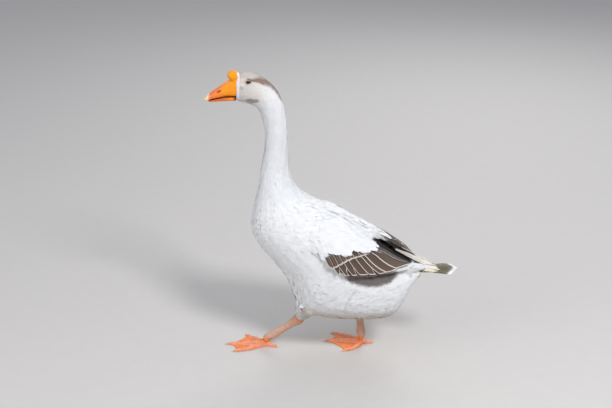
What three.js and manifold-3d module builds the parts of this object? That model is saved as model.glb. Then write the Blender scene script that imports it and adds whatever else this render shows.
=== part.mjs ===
// A domestic Chinese goose (a pied gander) walking, life size, in millimetres with +Z up.
// The bird faces -X and its left side is -Y. The body is one loft through sections that
// stand across its midline, parted by thin cuts into head, neck and trunk.
import * as THREE from 'three';
import { mergeVertices } from 'three/addons/utils/BufferGeometryUtils.js';
import Module from 'manifold-3d';

const wasm = await Module();
wasm.setup();

// Driving dimensions.
const GAP = 0.35;                 // clearance between neighbouring solids
const BODY_SIDES = 24;            // points round a body section
const BODY_STEPS = 2;             // rings from one body section to the next
const BILL_SIDES = 14;
const LIMB_SIDES = 10;

const KNOB = { x: -238.5, z: 722, length: 32, width: 25, height: 25.5, lean: 0.2 };
const EYE = { x: -200.5, z: 713, radius: 9, offset: 11.6, around: 10, down: 7 };

const TAIL = {
  feathers: 7, root: [200, 234], length: 122, halfFan: 0.1, halfBase: 14,
  featherWidth: 23, thickness: 2.4, stack: 0.55, arch: 5, outerShorter: 9, roll: 0.12, sink: 1,
};
const WING_ARC_STEPS = 6;         // flight feathers seen across a folded wing
const WING_THICKNESS = 17;        // depth of the folded wing's plumage
const WING_STEP = 1.8;            // height of one feather's edge over the next
const WING_SEAM = 0.02;           // share of a feather's width taken by the step to the next
const PRIMARIES = {
  count: 4, width: 21, thickness: 3, stack: 2.2, spread: 7, tipSpread: 11.2, outward: 3, roll: 0.35,
};
const FEATHER = { rootShare: 0.7, tipRound: 0.25 };  // half width at the root; length of the tip's curve

const WEB = { thickness: 3, reach: 0.92, hollow: 0.16 };
const TOE_HEIGHT = 10.5;
const TOE_WIDTH = 11.5;
const TOE_END = { width: 0.62, height: 0.55 };   // shares of the toe's size at its claw
const KNUCKLE = { swell: 0.08, waves: 2.5, roundness: 0.7 };
const CLAW_LENGTH = { middle: 10, outer: 8, inner: 8, hind: 6 };
const CLAW_START = 1;             // a claw's root leans, so it starts a little past the toe
const CLAW_ROOT = { half: 2.7, depth: 2.6, z: 3 };
const CLAW_TIP = { half: 0.7, depth: 0.6, z: 0.9 };
const TARSUS_WIDTH = 14.5;
const TARSUS_DEPTH = 19.5;
// Shares of the tarsus's width and depth along it, from above the hock (0) to the toes (1).
const TARSUS_PROFILE = [
  [-0.09, 0.95, 0.8], [0.02, 1.3, 1.25], [0.16, 1.05, 1.02], [0.5, 0.9, 0.82], [0.82, 0.98, 0.88],
  [1, 1.3, 0.95],
];
// The same for the room it takes in the foot below it and in the thigh's feathers above it.
const FOOT_SOCKET = [[0.6, 1, 1], [0.82, 0.98, 0.88], [1, 1.3, 0.95]];
const CUFF_SOCKET = [[-0.12, 0.95, 0.8], [0.02, 1.3, 1.25], [0.16, 1.05, 1.02], [0.5, 0.95, 0.9]];
// Half width and half depth of the thigh's plumage from its root to the cuff.
const THIGH_PROFILE = [[0, 30, 34], [0.15, 28, 32], [0.55, 20, 23], [0.88, 13, 15], [1, 10.5, 12]];

// Where each leg's thigh starts, where its feathers end, its hock and the joint of its toes.
// Each toe is the [x, y] its middle bows through and the [x, y] of its claw's tip.
// The right hock is hidden in the plumage of the belly.
const LEGS = {
  left: {
    thigh: [-50, -44, 138], cuff: [-77, -26, 90], hock: [-79, -24, 84], ankle: [-167, -18, 17],
    toes: {
      middle: [[-222, -20], [-276, -21]],
      outer: [[-208, -46], [-251, -60]],
      inner: [[-203, 12], [-229, 37]],
      hind: [[-151, -22], [-131, -27]],
    },
  },
  right: {
    thigh: [60, 36, 134], cuff: [75, 20, 82], hock: [72, 22, 124], ankle: [81, 15, 17],
    toes: {
      middle: [[28, 17], [-24, 19]],
      outer: [[40, 44], [-4, 66]],
      inner: [[66, -16], [29, -35]],
      hind: [[96, 17], [115, 22]],
    },
  },
};
const TOE_RISE = 7;               // how much higher a toe is where it meets the tarsus

const COLOURS = {
  white: 0xf1efea, fawn: 0xd9cdbf, orange: 0xf0962a, billPink: 0xe9803c, nail: 0xe6d3b4,
  eye: 0x2b1710, brown: 0x6f5a4c, leg: 0xe08a5c, web: 0xee7f3c, claw: 0xcdbca6,
};

// One section of the body: the dorsal and ventral points as [x, z], the half width, how far
// up the section is widest (0 to 1), and the squareness of its outline (2 is an ellipse).
const section = (dorsal, ventral, half, widest = 0.5, square = 2) => (
  [...dorsal, ...ventral, half, widest, square]
);

const HEAD_SECTIONS = [
  section([-231, 723], [-232, 661], 14, 0.42),          // face, at the base of the bill
  section([-221, 731], [-223, 657.5], 18.5, 0.44),      // lores
  section([-205, 734], [-211.5, 655.5], 21.5, 0.46, 2.1), // brow and eye
  section([-186, 730], [-202, 653], 23, 0.45, 2.1),     // crown and cheek
  section([-165, 718.5], [-193, 650.5], 23.5, 0.46),    // back of the head
  section([-143.5, 700.5], [-185.5, 646], 24, 0.47),    // nape
];
const NECK_SECTIONS = [
  section([-126.5, 677], [-178.5, 638], 24.5),
  section([-115.5, 645], [-170.5, 621.5], 25),
  section([-110, 609], [-166, 598.5], 25.5),
  section([-107, 565], [-164.5, 562], 27),
  section([-107, 526], [-167, 526], 29),
  section([-105, 487], [-176.5, 483], 34.5),
  section([-95, 453.5], [-183, 441], 43.5, 0.52),
];
const TRUNK_SECTIONS = [
  section([-74, 425], [-191.5, 396], 58, 0.52, 2.1),    // base of the neck
  section([-46, 408], [-199, 362], 75, 0.52, 2.1),
  section([-18, 393], [-200, 327], 88, 0.5, 2.1),       // breast
  section([9, 378], [-181, 288], 96, 0.5, 2.1),
  section([35, 362], [-146, 246], 100, 0.5, 2.1),       // breast turns under
  section([58, 346], [-112, 201], 101, 0.5, 2.1),
  section([78, 331], [-93, 147], 101, 0.5, 2.15),
  section([96, 317], [-68, 107], 100, 0.49, 2.2),       // front of the belly
  section([117, 300], [-12, 95], 98, 0.48, 2.25),
  section([142, 283], [56, 93], 94, 0.46, 2.25),        // belly between the legs
  section([165, 268], [118, 95], 85, 0.44, 2.2),
  section([183, 258], [160, 107], 72, 0.44, 2.15),      // vent
  section([200, 251], [186, 142], 56, 0.46, 2.1),
  section([214, 245], [206, 184], 41, 0.5),
  section([226, 240], [228, 214], 30, 0.5),             // root of the tail
];
const NECK_LENGTHS = 3;
const TRUNK_PARTED = 10;          // trunk sections before the rump
const NECK_IN_TRUNK = 3;          // neck sections that the trunk's clearance reaches over

// The upper mandible stands across a line from the face to the tip: [x, top, bottom, half].
const UPPER_BILL = [
  [-232.6, 721, 672.5, 14.4], [-244, 713.5, 673, 14.4], [-258, 706, 673, 13.9],
  [-274, 694.3, 669, 13], [-289, 684, 664.5, 12.4], [-301, 674.2, 660, 11.2],
];
const LOWER_BILL = [
  [-232.8, 671.5, 661, 13], [-247.5, 671.7, 660, 12.2], [-261.5, 671, 658.9, 11.6],
  [-276, 667.3, 657.6, 10.8], [-290, 662.8, 656.6, 9.9], [-300.5, 659.3, 656, 8.1],
];
const NAIL = [
  [-301.6, 673.6, 659.5, 9.8], [-306, 670.2, 658, 8.8], [-310, 666.2, 657, 6.8],
  [-313.3, 661.4, 657.2, 3.4],
];
// Squareness of the bill's sections above and below their widest line, and that line's height.
const UPPER_SQUARE = { above: 1.75, below: 3 };
const LOWER_SQUARE = { above: 3, below: 2.2 };
const NAIL_SQUARE = { above: 2, below: 2.6 };
const BILL_WIDEST = 0.34;

// The folded wing: lower edge [x, y, z], upper edge [x, y, z]; it bows out between them.
// The left wing lies lower along the back than the right one, which leaves a cleft.
const WING_FRONT = [
  [-62, 80, 342, -36, 46, 380],
  [-46, 97, 321, -22, 30, 390],
  [-19, 107, 293, -2, 19, 389],
  [15, 110.5, 266, 22, 12, 379],
];
const WING_SECTIONS = {
  left: [
    ...WING_FRONT,
    [50, 110, 249, 50, 10, 359],
    [86, 107, 245, 81, 15, 331],
    [121, 100, 247, 113, 23, 307],
    [151, 90, 249, 143, 28, 286],
    [180, 76, 250.5, 173, 26, 267],
    [206, 56, 250, 198, 19, 254],
  ],
  right: [
    ...WING_FRONT,
    [50, 110, 249, 50, 8, 363],
    [86, 107, 245, 82, 6, 345],
    [121, 100, 247, 115, 5, 325],
    [151, 90, 249, 146, 5, 305],
    [180, 76, 250.5, 175, 6, 284],
    [206, 56, 250, 199, 8, 264],
  ],
};
const FLIGHT_CUT = { point: [78, 84, 296], normal: [81, 96, -109] };
const PRIMARY_ROOT = { x: 171, y: 42, z: 266 };
const PRIMARY_TIP = { x: 247, y: 20, z: 241 };

// ---------------------------------------------------------------------------------------
// Helpers for building closed solids.

const vector = (x, y, z) => new THREE.Vector3(x, y, z);
const lerp = THREE.MathUtils.lerp;
const signedPower = (value, power) => Math.sign(value) * Math.abs(value) ** power;

// A closed skin over rings of equal length, with a fan over each end.
function loft(rings) {
  const sides = rings[0].length;
  const points = rings.flat();
  const faces = [];
  for (let ring = 0; ring + 1 < rings.length; ring += 1) {
    for (let side = 0; side < sides; side += 1) {
      const next = (side + 1) % sides;
      const a = ring * sides + side;
      const b = ring * sides + next;
      faces.push(a, b, a + sides, b, b + sides, a + sides);
    }
  }
  const capEnd = (first, reversed) => {
    const centre = vector(0, 0, 0);
    for (let side = 0; side < sides; side += 1) {
      centre.addScaledVector(points[first + side], 1 / sides);
    }
    const hub = points.push(centre) - 1;
    for (let side = 0; side < sides; side += 1) {
      const a = first + side;
      const b = first + ((side + 1) % sides);
      faces.push(hub, reversed ? a : b, reversed ? b : a);
    }
  };
  capEnd(0, false);
  capEnd((rings.length - 1) * sides, true);
  const geometry = new THREE.BufferGeometry().setFromPoints(points);
  geometry.setIndex(faces);
  return turnedOutward(geometry);
}

function signedVolume(geometry) {
  const index = geometry.index.array;
  const position = geometry.attributes.position;
  const [a, b, c] = [vector(0, 0, 0), vector(0, 0, 0), vector(0, 0, 0)];
  let volume = 0;
  for (let i = 0; i < index.length; i += 3) {
    a.fromBufferAttribute(position, index[i]);
    b.fromBufferAttribute(position, index[i + 1]);
    c.fromBufferAttribute(position, index[i + 2]);
    volume += a.dot(b.cross(c)) / 6;
  }
  return volume;
}

function turnedOutward(geometry) {
  if (signedVolume(geometry) < 0) {
    geometry.setIndex(Array.from(geometry.index.array).reverse());
  }
  return geometry;
}

function toSolid(geometry) {
  const bare = geometry.clone();
  bare.deleteAttribute('normal');
  bare.deleteAttribute('uv');
  const merged = mergeVertices(bare, 1e-3);
  return new wasm.Manifold(new wasm.Mesh({
    numProp: 3,
    vertProperties: new Float32Array(merged.attributes.position.array),
    triVerts: new Uint32Array(merged.index.array),
  }));
}

function toGeometry(solid) {
  const mesh = solid.getMesh();
  const geometry = new THREE.BufferGeometry();
  geometry.setAttribute('position', new THREE.BufferAttribute(mesh.vertProperties, 3));
  geometry.setIndex(new THREE.BufferAttribute(mesh.triVerts, 1));
  return geometry;
}

// The largest of the separate bodies in a solid: cuts can leave slivers behind.
function largest(solid) {
  const parts = solid.decompose();
  parts.sort((a, b) => b.volume() - a.volume());
  return parts[0];
}

// A large block whose flat face passes through a point; it lies on the normal's side.
function halfSpace(point, normal) {
  const size = 2000;
  const block = new THREE.BoxGeometry(size, size, size);
  block.translate(0, 0, size / 2);
  const turn = new THREE.Quaternion().setFromUnitVectors(vector(0, 0, 1), normal);
  block.applyQuaternion(turn);
  block.translate(point.x, point.y, point.z);
  return toSolid(block);
}

// Values on a smooth curve through a list of stations; u runs from 0 to their last index.
function smoothStation(stations, u) {
  const at = (i) => stations[Math.min(Math.max(i, 0), stations.length - 1)];
  const i = Math.min(Math.floor(u), stations.length - 2);
  const f = u - i;
  return at(i).map((value, k) => {
    const before = at(i - 1)[k];
    const after = at(i + 1)[k];
    const beyond = at(i + 2)[k];
    const slopeIn = (after - before) / 2;
    const slopeOut = (beyond - value) / 2;
    const a = 2 * value - 2 * after + slopeIn + slopeOut;
    const b = -3 * value + 3 * after - 2 * slopeIn - slopeOut;
    return ((a * f + b) * f + slopeIn) * f + value;
  });
}

// A ring round a tilted section whose dorsal and ventral points lie in the midline plane.
function bodyRing([dx, dz, vx, vz, half, widest, square], sides, grow = 0) {
  const dorsal = vector(dx, 0, dz);
  const ventral = vector(vx, 0, vz);
  const up = dorsal.clone().sub(ventral);
  const height = up.length();
  up.normalize();
  const centre = ventral.clone().addScaledVector(up, height * widest);
  const ring = [];
  for (let i = 0; i < sides; i += 1) {
    const angle = (2 * Math.PI * (i + 0.5)) / sides;
    const across = signedPower(Math.cos(angle), 2 / square) * (half + grow);
    const reach = Math.sin(angle) > 0 ? height * (1 - widest) : height * widest;
    const along = signedPower(Math.sin(angle), 2 / square) * (reach + grow);
    ring.push(centre.clone().addScaledVector(up, along).add(vector(0, across, 0)));
  }
  return ring;
}

// Rings of the body from one place along its sections to another, pulled in at the ends.
function bodyRings(sections, from, to, insetStart, insetEnd, grow = 0) {
  const steps = Math.round((to - from) * BODY_STEPS);
  const rings = [];
  for (let i = 0; i <= steps; i += 1) {
    rings.push(bodyRing(smoothStation(sections, lerp(from, to, i / steps)), BODY_SIDES, grow));
  }
  const shift = (ring, towards, distance) => {
    const normal = vector(0, 1, 0).cross(ring[BODY_SIDES / 4].clone().sub(ring[0])).normalize();
    const middle = (points) => points.reduce((sum, p) => sum.add(p), vector(0, 0, 0));
    const sign = Math.sign(normal.dot(middle(towards).sub(middle(ring)))) || 1;
    ring.forEach((point) => point.addScaledVector(normal, sign * distance));
  };
  if (insetStart) shift(rings[0], rings[1], insetStart);
  if (insetEnd) shift(rings[steps], rings[steps - 1], insetEnd);
  return rings;
}

// A round limb along points [x, y, z, halfWidth, halfDepth], each ring square to its path.
function limb(points, sides = LIMB_SIDES, stepsEach = 2) {
  const rings = [];
  const last = points.length - 1;
  for (let i = 0; i <= last * stepsEach; i += 1) {
    const u = i / stepsEach;
    const [x, y, z, halfWidth, halfDepth] = smoothStation(points, u);
    const ahead = smoothStation(points, Math.min(u + 0.1, last));
    const behind = smoothStation(points, Math.max(u - 0.1, 0));
    const path = vector(ahead[0] - behind[0], ahead[1] - behind[1], ahead[2] - behind[2]);
    path.normalize();
    const sideways = vector(0, 1, 0).addScaledVector(path, -path.y).normalize();
    const outward = path.clone().cross(sideways);
    const ring = [];
    for (let k = 0; k < sides; k += 1) {
      const angle = (2 * Math.PI * k) / sides;
      ring.push(vector(x, y, z)
        .addScaledVector(sideways, Math.cos(angle) * halfWidth)
        .addScaledVector(outward, Math.sin(angle) * halfDepth));
    }
    rings.push(ring);
  }
  return loft(rings);
}

// ---------------------------------------------------------------------------------------
// The scene graph.

const goose = new THREE.Group();
const bird = new THREE.Group();
goose.add(bird);

function addPart(name, solidOrGeometry, colour, roughness = 0.85) {
  const geometry = solidOrGeometry.isBufferGeometry ? solidOrGeometry : toGeometry(solidOrGeometry);
  const material = new THREE.MeshStandardMaterial({ color: colour, roughness, metalness: 0 });
  const mesh = new THREE.Mesh(geometry, material);
  mesh.name = name;
  bird.add(mesh);
}

// ---------------------------------------------------------------------------------------
// Head, neck and trunk.

const SPINE = [...HEAD_SECTIONS, ...NECK_SECTIONS, ...TRUNK_SECTIONS];
const NECK_START = HEAD_SECTIONS.length;
const TRUNK_START = NECK_START + NECK_SECTIONS.length;
const RUMP_START = TRUNK_START + TRUNK_PARTED;
const spineEnd = SPINE.length - 1;

const eyeball = (radius, side) => (
  new THREE.SphereGeometry(radius, EYE.around, EYE.down).translate(EYE.x, side * EYE.offset, EYE.z)
);

// The knob's egg, grown all round by a clearance where it is to be cut from its neighbours.
function knobEgg(grow) {
  const egg = new THREE.SphereGeometry(0.5, 12, 7);
  egg.scale(KNOB.length + 2 * grow, KNOB.width + 2 * grow, KNOB.height + 2 * grow);
  egg.rotateY(KNOB.lean);
  return egg.translate(KNOB.x, 0, KNOB.z);
}

const knobSocket = toSolid(knobEgg(GAP));

let headSolid = toSolid(loft(bodyRings(SPINE, 0, NECK_START, 0, GAP / 2)));
headSolid = headSolid.subtract(knobSocket);
for (const side of [-1, 1]) {
  const socket = eyeball(EYE.radius + GAP, side);
  headSolid = headSolid.subtract(toSolid(socket));
}
addPart('head', largest(headSolid), COLOURS.fawn);
addPart('eye_left', eyeball(EYE.radius, -1), COLOURS.eye, 0.1);
addPart('eye_right', eyeball(EYE.radius, 1), COLOURS.eye, 0.1);

const neckNames = ['neck_upper', 'neck_middle', 'neck_lower'];
for (let i = 0; i < NECK_LENGTHS; i += 1) {
  const from = lerp(NECK_START, TRUNK_START, i / NECK_LENGTHS);
  const to = lerp(NECK_START, TRUNK_START, (i + 1) / NECK_LENGTHS);
  addPart(neckNames[i], loft(bodyRings(SPINE, from, to, GAP / 2, GAP / 2)), COLOURS.white);
}

// ---------------------------------------------------------------------------------------
// Bill: an upper and a lower mandible, the horny nail, and the knob.

function billRings(stations, squareness, stepsEach = 2) {
  const rings = [];
  for (let i = 0; i <= (stations.length - 1) * stepsEach; i += 1) {
    const [x, top, bottom, half] = smoothStation(stations, i / stepsEach);
    const widest = lerp(bottom, top, BILL_WIDEST);
    const ring = [];
    for (let k = 0; k < BILL_SIDES; k += 1) {
      const angle = (2 * Math.PI * k) / BILL_SIDES;
      const above = Math.sin(angle) > 0;
      const square = above ? squareness.above : squareness.below;
      const reach = above ? top - widest : widest - bottom;
      ring.push(vector(
        x,
        signedPower(Math.cos(angle), 2 / square) * half,
        widest + signedPower(Math.sin(angle), 2 / square) * reach,
      ));
    }
    rings.push(ring);
  }
  return rings;
}

const upperBill = toSolid(loft(billRings(UPPER_BILL, UPPER_SQUARE)));
addPart('bill_upper', largest(upperBill.subtract(knobSocket)), COLOURS.orange, 0.45);
addPart('bill_lower', loft(billRings(LOWER_BILL, LOWER_SQUARE, 1)), COLOURS.billPink, 0.45);
addPart('bill_nail', loft(billRings(NAIL, NAIL_SQUARE, 1)), COLOURS.nail, 0.4);
addPart('knob', knobEgg(0), COLOURS.orange, 0.5);

// ---------------------------------------------------------------------------------------
// Wings: a folded shell over each flank, parted where the flight feathers begin.

const trunkGrown = toSolid(loft(bodyRings(SPINE, TRUNK_START - NECK_IN_TRUNK, spineEnd, 0, 0, GAP)));

function wingRing(station, side, feathers) {
  const [lowX, lowY, lowZ, highX, highY, highZ] = station;
  const outer = [];
  const inner = [];
  const onArc = (t, depth) => {
    const turn = (t * Math.PI) / 2;
    const y = highY + (lowY - highY) * Math.cos(turn) - depth * Math.cos(turn);
    const z = lowZ + (highZ - lowZ) * Math.sin(turn) - depth * Math.sin(turn);
    return vector(lerp(lowX, highX, t), side * y, z);
  };
  for (let i = 0; i < WING_ARC_STEPS; i += 1) {
    outer.push(onArc((i + WING_SEAM) / WING_ARC_STEPS, 0));
    if (feathers) outer.push(onArc((i + 1 - WING_SEAM) / WING_ARC_STEPS, WING_STEP));
  }
  if (!feathers) outer.push(onArc(1 - WING_SEAM / WING_ARC_STEPS, 0));
  const innerSteps = WING_ARC_STEPS / 2;
  for (let i = innerSteps; i >= 0; i -= 1) {
    inner.push(onArc(i / innerSteps, WING_THICKNESS));
  }
  return [...outer, ...inner];
}

// The whole shell of one wing; the flight feathers lie on it in low steps, the rest is smooth.
function wingShell(name, side, feathers) {
  const rings = [];
  const steps = (WING_SECTIONS[name].length - 1) * 2;
  for (let i = 0; i <= steps; i += 1) {
    rings.push(wingRing(smoothStation(WING_SECTIONS[name], i / 2), side, feathers));
  }
  return toSolid(loft(rings));
}

// A long feather with a rounded tip, from its root to its tip, with its flat side up.
function featherPlate(root, tip, width, thickness, roll = 0) {
  const length = root.distanceTo(tip);
  const half = width / 2;
  const outline = new THREE.Shape();
  const shoulder = length - width * FEATHER.tipRound;
  outline.moveTo(0, -half * FEATHER.rootShare);
  outline.lineTo(length - width, -half);
  outline.quadraticCurveTo(shoulder, -half, length, 0);
  outline.quadraticCurveTo(shoulder, half, length - width, half);
  outline.lineTo(0, half * FEATHER.rootShare);
  outline.closePath();
  const plate = new THREE.ExtrudeGeometry(outline, {
    depth: thickness, bevelEnabled: false, curveSegments: 2,
  });
  plate.translate(0, 0, -thickness / 2);
  plate.rotateX(roll);
  const along = tip.clone().sub(root).normalize();
  const across = vector(0, 0, 1).cross(along).normalize();
  const up = along.clone().cross(across);
  plate.applyMatrix4(new THREE.Matrix4().makeBasis(along, across, up));
  plate.translate(root.x, root.y, root.z);
  return toSolid(plate);
}

function primaries(side) {
  let bundle = null;
  for (let i = 0; i < PRIMARIES.count; i += 1) {
    const out = i * PRIMARIES.outward;
    const drop = i * PRIMARIES.stack;
    const root = vector(
      PRIMARY_ROOT.x - i * PRIMARIES.spread, side * (PRIMARY_ROOT.y + out), PRIMARY_ROOT.z - drop,
    );
    const tip = vector(
      PRIMARY_TIP.x - i * PRIMARIES.tipSpread, side * (PRIMARY_TIP.y + out), PRIMARY_TIP.z - drop,
    );
    const { width, thickness, roll } = PRIMARIES;
    const feather = featherPlate(root, tip, width, thickness, -side * roll);
    bundle = bundle ? bundle.add(feather) : feather;
  }
  return bundle;
}

for (const [name, side] of [['left', -1], ['right', 1]]) {
  const point = vector(FLIGHT_CUT.point[0], side * FLIGHT_CUT.point[1], FLIGHT_CUT.point[2]);
  const normal = vector(FLIGHT_CUT.normal[0], side * FLIGHT_CUT.normal[1], FLIGHT_CUT.normal[2]);
  normal.normalize();
  const coverts = wingShell(name, side, false).subtract(trunkGrown);
  const flightShell = wingShell(name, side, true).subtract(trunkGrown);
  const behind = halfSpace(point.clone().addScaledVector(normal, GAP / 2), normal);
  const before = halfSpace(
    point.clone().addScaledVector(normal, -GAP / 2), normal.clone().negate(),
  );
  const tips = primaries(side).subtract(trunkGrown);
  addPart(`wing_${name}`, largest(coverts.intersect(before)), COLOURS.white);
  const flight = largest(flightShell.intersect(behind).add(tips));
  addPart(`flight_feathers_${name}`, flight, COLOURS.brown, 0.7);
}

// ---------------------------------------------------------------------------------------
// Tail: a narrow fan of overlapping feathers.

function tailFan() {
  let fan = null;
  const middle = (TAIL.feathers - 1) / 2;
  for (let i = 0; i < TAIL.feathers; i += 1) {
    const place = (i - middle) / middle;
    const outward = Math.abs(place);
    const angle = place * TAIL.halfFan;
    const z = TAIL.root[1] - TAIL.arch * outward ** 2 - TAIL.stack * outward * middle;
    const root = vector(TAIL.root[0], place * TAIL.halfBase, z);
    const reach = TAIL.length - TAIL.outerShorter * outward ** 2;
    const tip = vector(reach * Math.cos(angle), reach * Math.sin(angle), -TAIL.sink).add(root);
    const roll = -place * TAIL.roll;
    const feather = featherPlate(root, tip, TAIL.featherWidth, TAIL.thickness, roll);
    fan = fan ? fan.add(feather) : feather;
  }
  return fan;
}

const tailSolid = tailFan().subtract(trunkGrown);

// ---------------------------------------------------------------------------------------
// Legs: feathered thigh, scaly tarsus, and a webbed foot with four claws.

const TOE_SECTION = 5;

// The [x, y] places along a toe that bows from the ankle through its middle to its end.
function toeCurve(root, bow, end) {
  return new THREE.QuadraticBezierCurve3(
    root, bow.clone().multiplyScalar(2).sub(root.clone().add(end).multiplyScalar(0.5)), end,
  );
}

// A toe along the ground: an arched section with a flat sole, thinner towards the claw.
function toe(curve) {
  const steps = 5;
  const rings = [];
  for (let i = 0; i <= steps; i += 1) {
    const u = i / steps;
    const path = curve.getTangent(u);
    const sideways = vector(-path.y, path.x, 0);
    const knuckle = 1 + KNUCKLE.swell * Math.cos(u * KNUCKLE.waves * 2 * Math.PI);
    const half = (TOE_WIDTH / 2) * lerp(1, TOE_END.width, u) * knuckle;
    const risen = TOE_HEIGHT + TOE_RISE * (1 - u) ** 2;
    const height = risen * lerp(1, TOE_END.height, u) * knuckle;
    const centre = curve.getPoint(u);
    const ring = [vector(centre.x, centre.y, 0).addScaledVector(sideways, half)];
    for (let k = 1; k < TOE_SECTION; k += 1) {
      const angle = (Math.PI * k) / TOE_SECTION;
      ring.push(vector(centre.x, centre.y, Math.sin(angle) ** KNUCKLE.roundness * height)
        .addScaledVector(sideways, Math.cos(angle) * half));
    }
    ring.push(vector(centre.x, centre.y, 0).addScaledVector(sideways, -half));
    rings.push(ring);
  }
  return toSolid(loft(rings));
}

// The web between two toes: a thin plate that follows both, with a hollow front edge.
function web(curveA, curveB) {
  const along = [0.25, 0.5, 0.75, 1].map((u) => u * WEB.reach);
  const root = curveA.getPoint(0);
  const a = along.map((u) => curveA.getPoint(u));
  const b = along.map((u) => curveB.getPoint(u)).reverse();
  const hollow = a[3].clone().add(b[0]).multiplyScalar(0.5).lerp(root, WEB.hollow);
  const plate = new THREE.Shape();
  plate.moveTo(root.x, root.y);
  a.forEach((point) => plate.lineTo(point.x, point.y));
  plate.quadraticCurveTo(hollow.x, hollow.y, b[0].x, b[0].y);
  b.slice(1).forEach((point) => plate.lineTo(point.x, point.y));
  plate.closePath();
  return toSolid(new THREE.ExtrudeGeometry(plate, {
    depth: WEB.thickness, bevelEnabled: false, curveSegments: 5,
  }));
}

// A claw: a short horn that starts just past the toe's end and sinks towards its tip.
function claw(toeEnd, path, lengthOfClaw) {
  const start = toeEnd.clone().addScaledVector(path, CLAW_START);
  const points = [0, 0.35, 0.7, 1].map((u) => {
    const along = start.clone().addScaledVector(path, (lengthOfClaw - CLAW_START) * u);
    const half = lerp(CLAW_ROOT.half, CLAW_TIP.half, u);
    const depth = lerp(CLAW_ROOT.depth, CLAW_TIP.depth, u);
    return [along.x, along.y, lerp(CLAW_ROOT.z, CLAW_TIP.z, u), half, depth];
  });
  return limb(points, 5, 1);
}

function leg(name, spec) {
  const hock = vector(...spec.hock);
  const thigh = vector(...spec.thigh);
  const ankle = vector(...spec.ankle);
  const root = vector(ankle.x, ankle.y, 0);
  const onShin = (grow) => ([u, width, depth]) => {
    const point = hock.clone().lerp(ankle, u);
    const halfWidth = (TARSUS_WIDTH / 2) * width + grow;
    return [point.x, point.y, point.z, halfWidth, (TARSUS_DEPTH / 2) * depth + grow];
  };
  const tarsusSolid = toSolid(limb(TARSUS_PROFILE.map(onShin(0))));

  let foot = null;
  const curves = {};
  for (const [key, [bow, tip]] of Object.entries(spec.toes)) {
    const clawTip = vector(...tip, 0);
    const away = clawTip.clone().sub(vector(...bow, 0)).normalize();
    const end = clawTip.clone().addScaledVector(away, -CLAW_LENGTH[key]);
    curves[key] = toeCurve(root, vector(...bow, 0), end);
    const path = curves[key].getTangent(1);
    foot = foot ? foot.add(toe(curves[key])) : toe(curves[key]);
    addPart(`claw_${name}_${key}`, claw(end, path, CLAW_LENGTH[key]), COLOURS.claw, 0.5);
  }
  foot = foot.add(web(curves.middle, curves.outer)).add(web(curves.middle, curves.inner));

  const ankleSpace = toSolid(limb(FOOT_SOCKET.map(onShin(GAP))));
  addPart(`foot_${name}`, largest(foot.subtract(ankleSpace)), COLOURS.web, 0.55);

  const cuff = vector(...spec.cuff);
  const thighSolid = toSolid(limb(THIGH_PROFILE.map(([u, halfWidth, halfDepth]) => {
    const point = thigh.clone().lerp(cuff, u);
    return [point.x, point.y, point.z, halfWidth, halfDepth];
  })));
  const floorCut = halfSpace(vector(0, 0, 0), vector(0, 0, -1));
  const tarsusAbove = tarsusSolid.subtract(floorCut);
  const hockSpace = toSolid(limb(CUFF_SOCKET.map(onShin(GAP))));
  const plumage = thighSolid.subtract(trunkGrown).subtract(hockSpace);
  addPart(`thigh_${name}`, largest(plumage), COLOURS.white);
  addPart(`tarsus_${name}`, largest(tarsusAbove.subtract(trunkGrown)), COLOURS.leg, 0.6);
}

for (const [name, spec] of Object.entries(LEGS)) leg(name, spec);

// ---------------------------------------------------------------------------------------
// Trunk, in two lengths, with the tail let into its end.

addPart('trunk', loft(bodyRings(SPINE, TRUNK_START, RUMP_START, GAP / 2, GAP / 2)), COLOURS.white);
addPart('rump', loft(bodyRings(SPINE, RUMP_START, spineEnd, GAP / 2, 0)), COLOURS.white);
addPart('tail', largest(tailSolid), COLOURS.brown, 0.75);

// The origin is on the floor at the middle of the whole bird's length and width.
const bounds = new THREE.Box3().setFromObject(bird);
const middle = bounds.getCenter(vector(0, 0, 0));
bird.position.set(-middle.x, -middle.y, -bounds.min.z);

export default goose;
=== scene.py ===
import math
import bpy
import numpy as np
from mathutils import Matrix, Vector
from mathutils.bvhtree import BVHTree
from mathutils.kdtree import KDTree


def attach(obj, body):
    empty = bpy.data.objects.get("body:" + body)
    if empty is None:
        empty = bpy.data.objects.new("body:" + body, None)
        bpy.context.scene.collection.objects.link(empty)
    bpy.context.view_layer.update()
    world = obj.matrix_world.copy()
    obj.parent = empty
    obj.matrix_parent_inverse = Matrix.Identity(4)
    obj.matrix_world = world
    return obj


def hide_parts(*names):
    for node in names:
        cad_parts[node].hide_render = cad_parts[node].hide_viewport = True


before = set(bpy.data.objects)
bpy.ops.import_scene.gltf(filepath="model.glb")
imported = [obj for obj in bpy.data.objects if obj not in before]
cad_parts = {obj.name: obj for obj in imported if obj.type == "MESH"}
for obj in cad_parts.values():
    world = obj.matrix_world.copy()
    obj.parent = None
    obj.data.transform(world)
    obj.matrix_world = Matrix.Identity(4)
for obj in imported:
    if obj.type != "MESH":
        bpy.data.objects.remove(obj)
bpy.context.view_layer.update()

# Lengths below are in millimetres, in the frame of the design: beak to -x, left side to -y.
ORIGIN = np.array([4.355, 0, 0])       # where the row frame's origin lies in the design
MM = 0.001
rng = np.random.default_rng(7)

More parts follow.
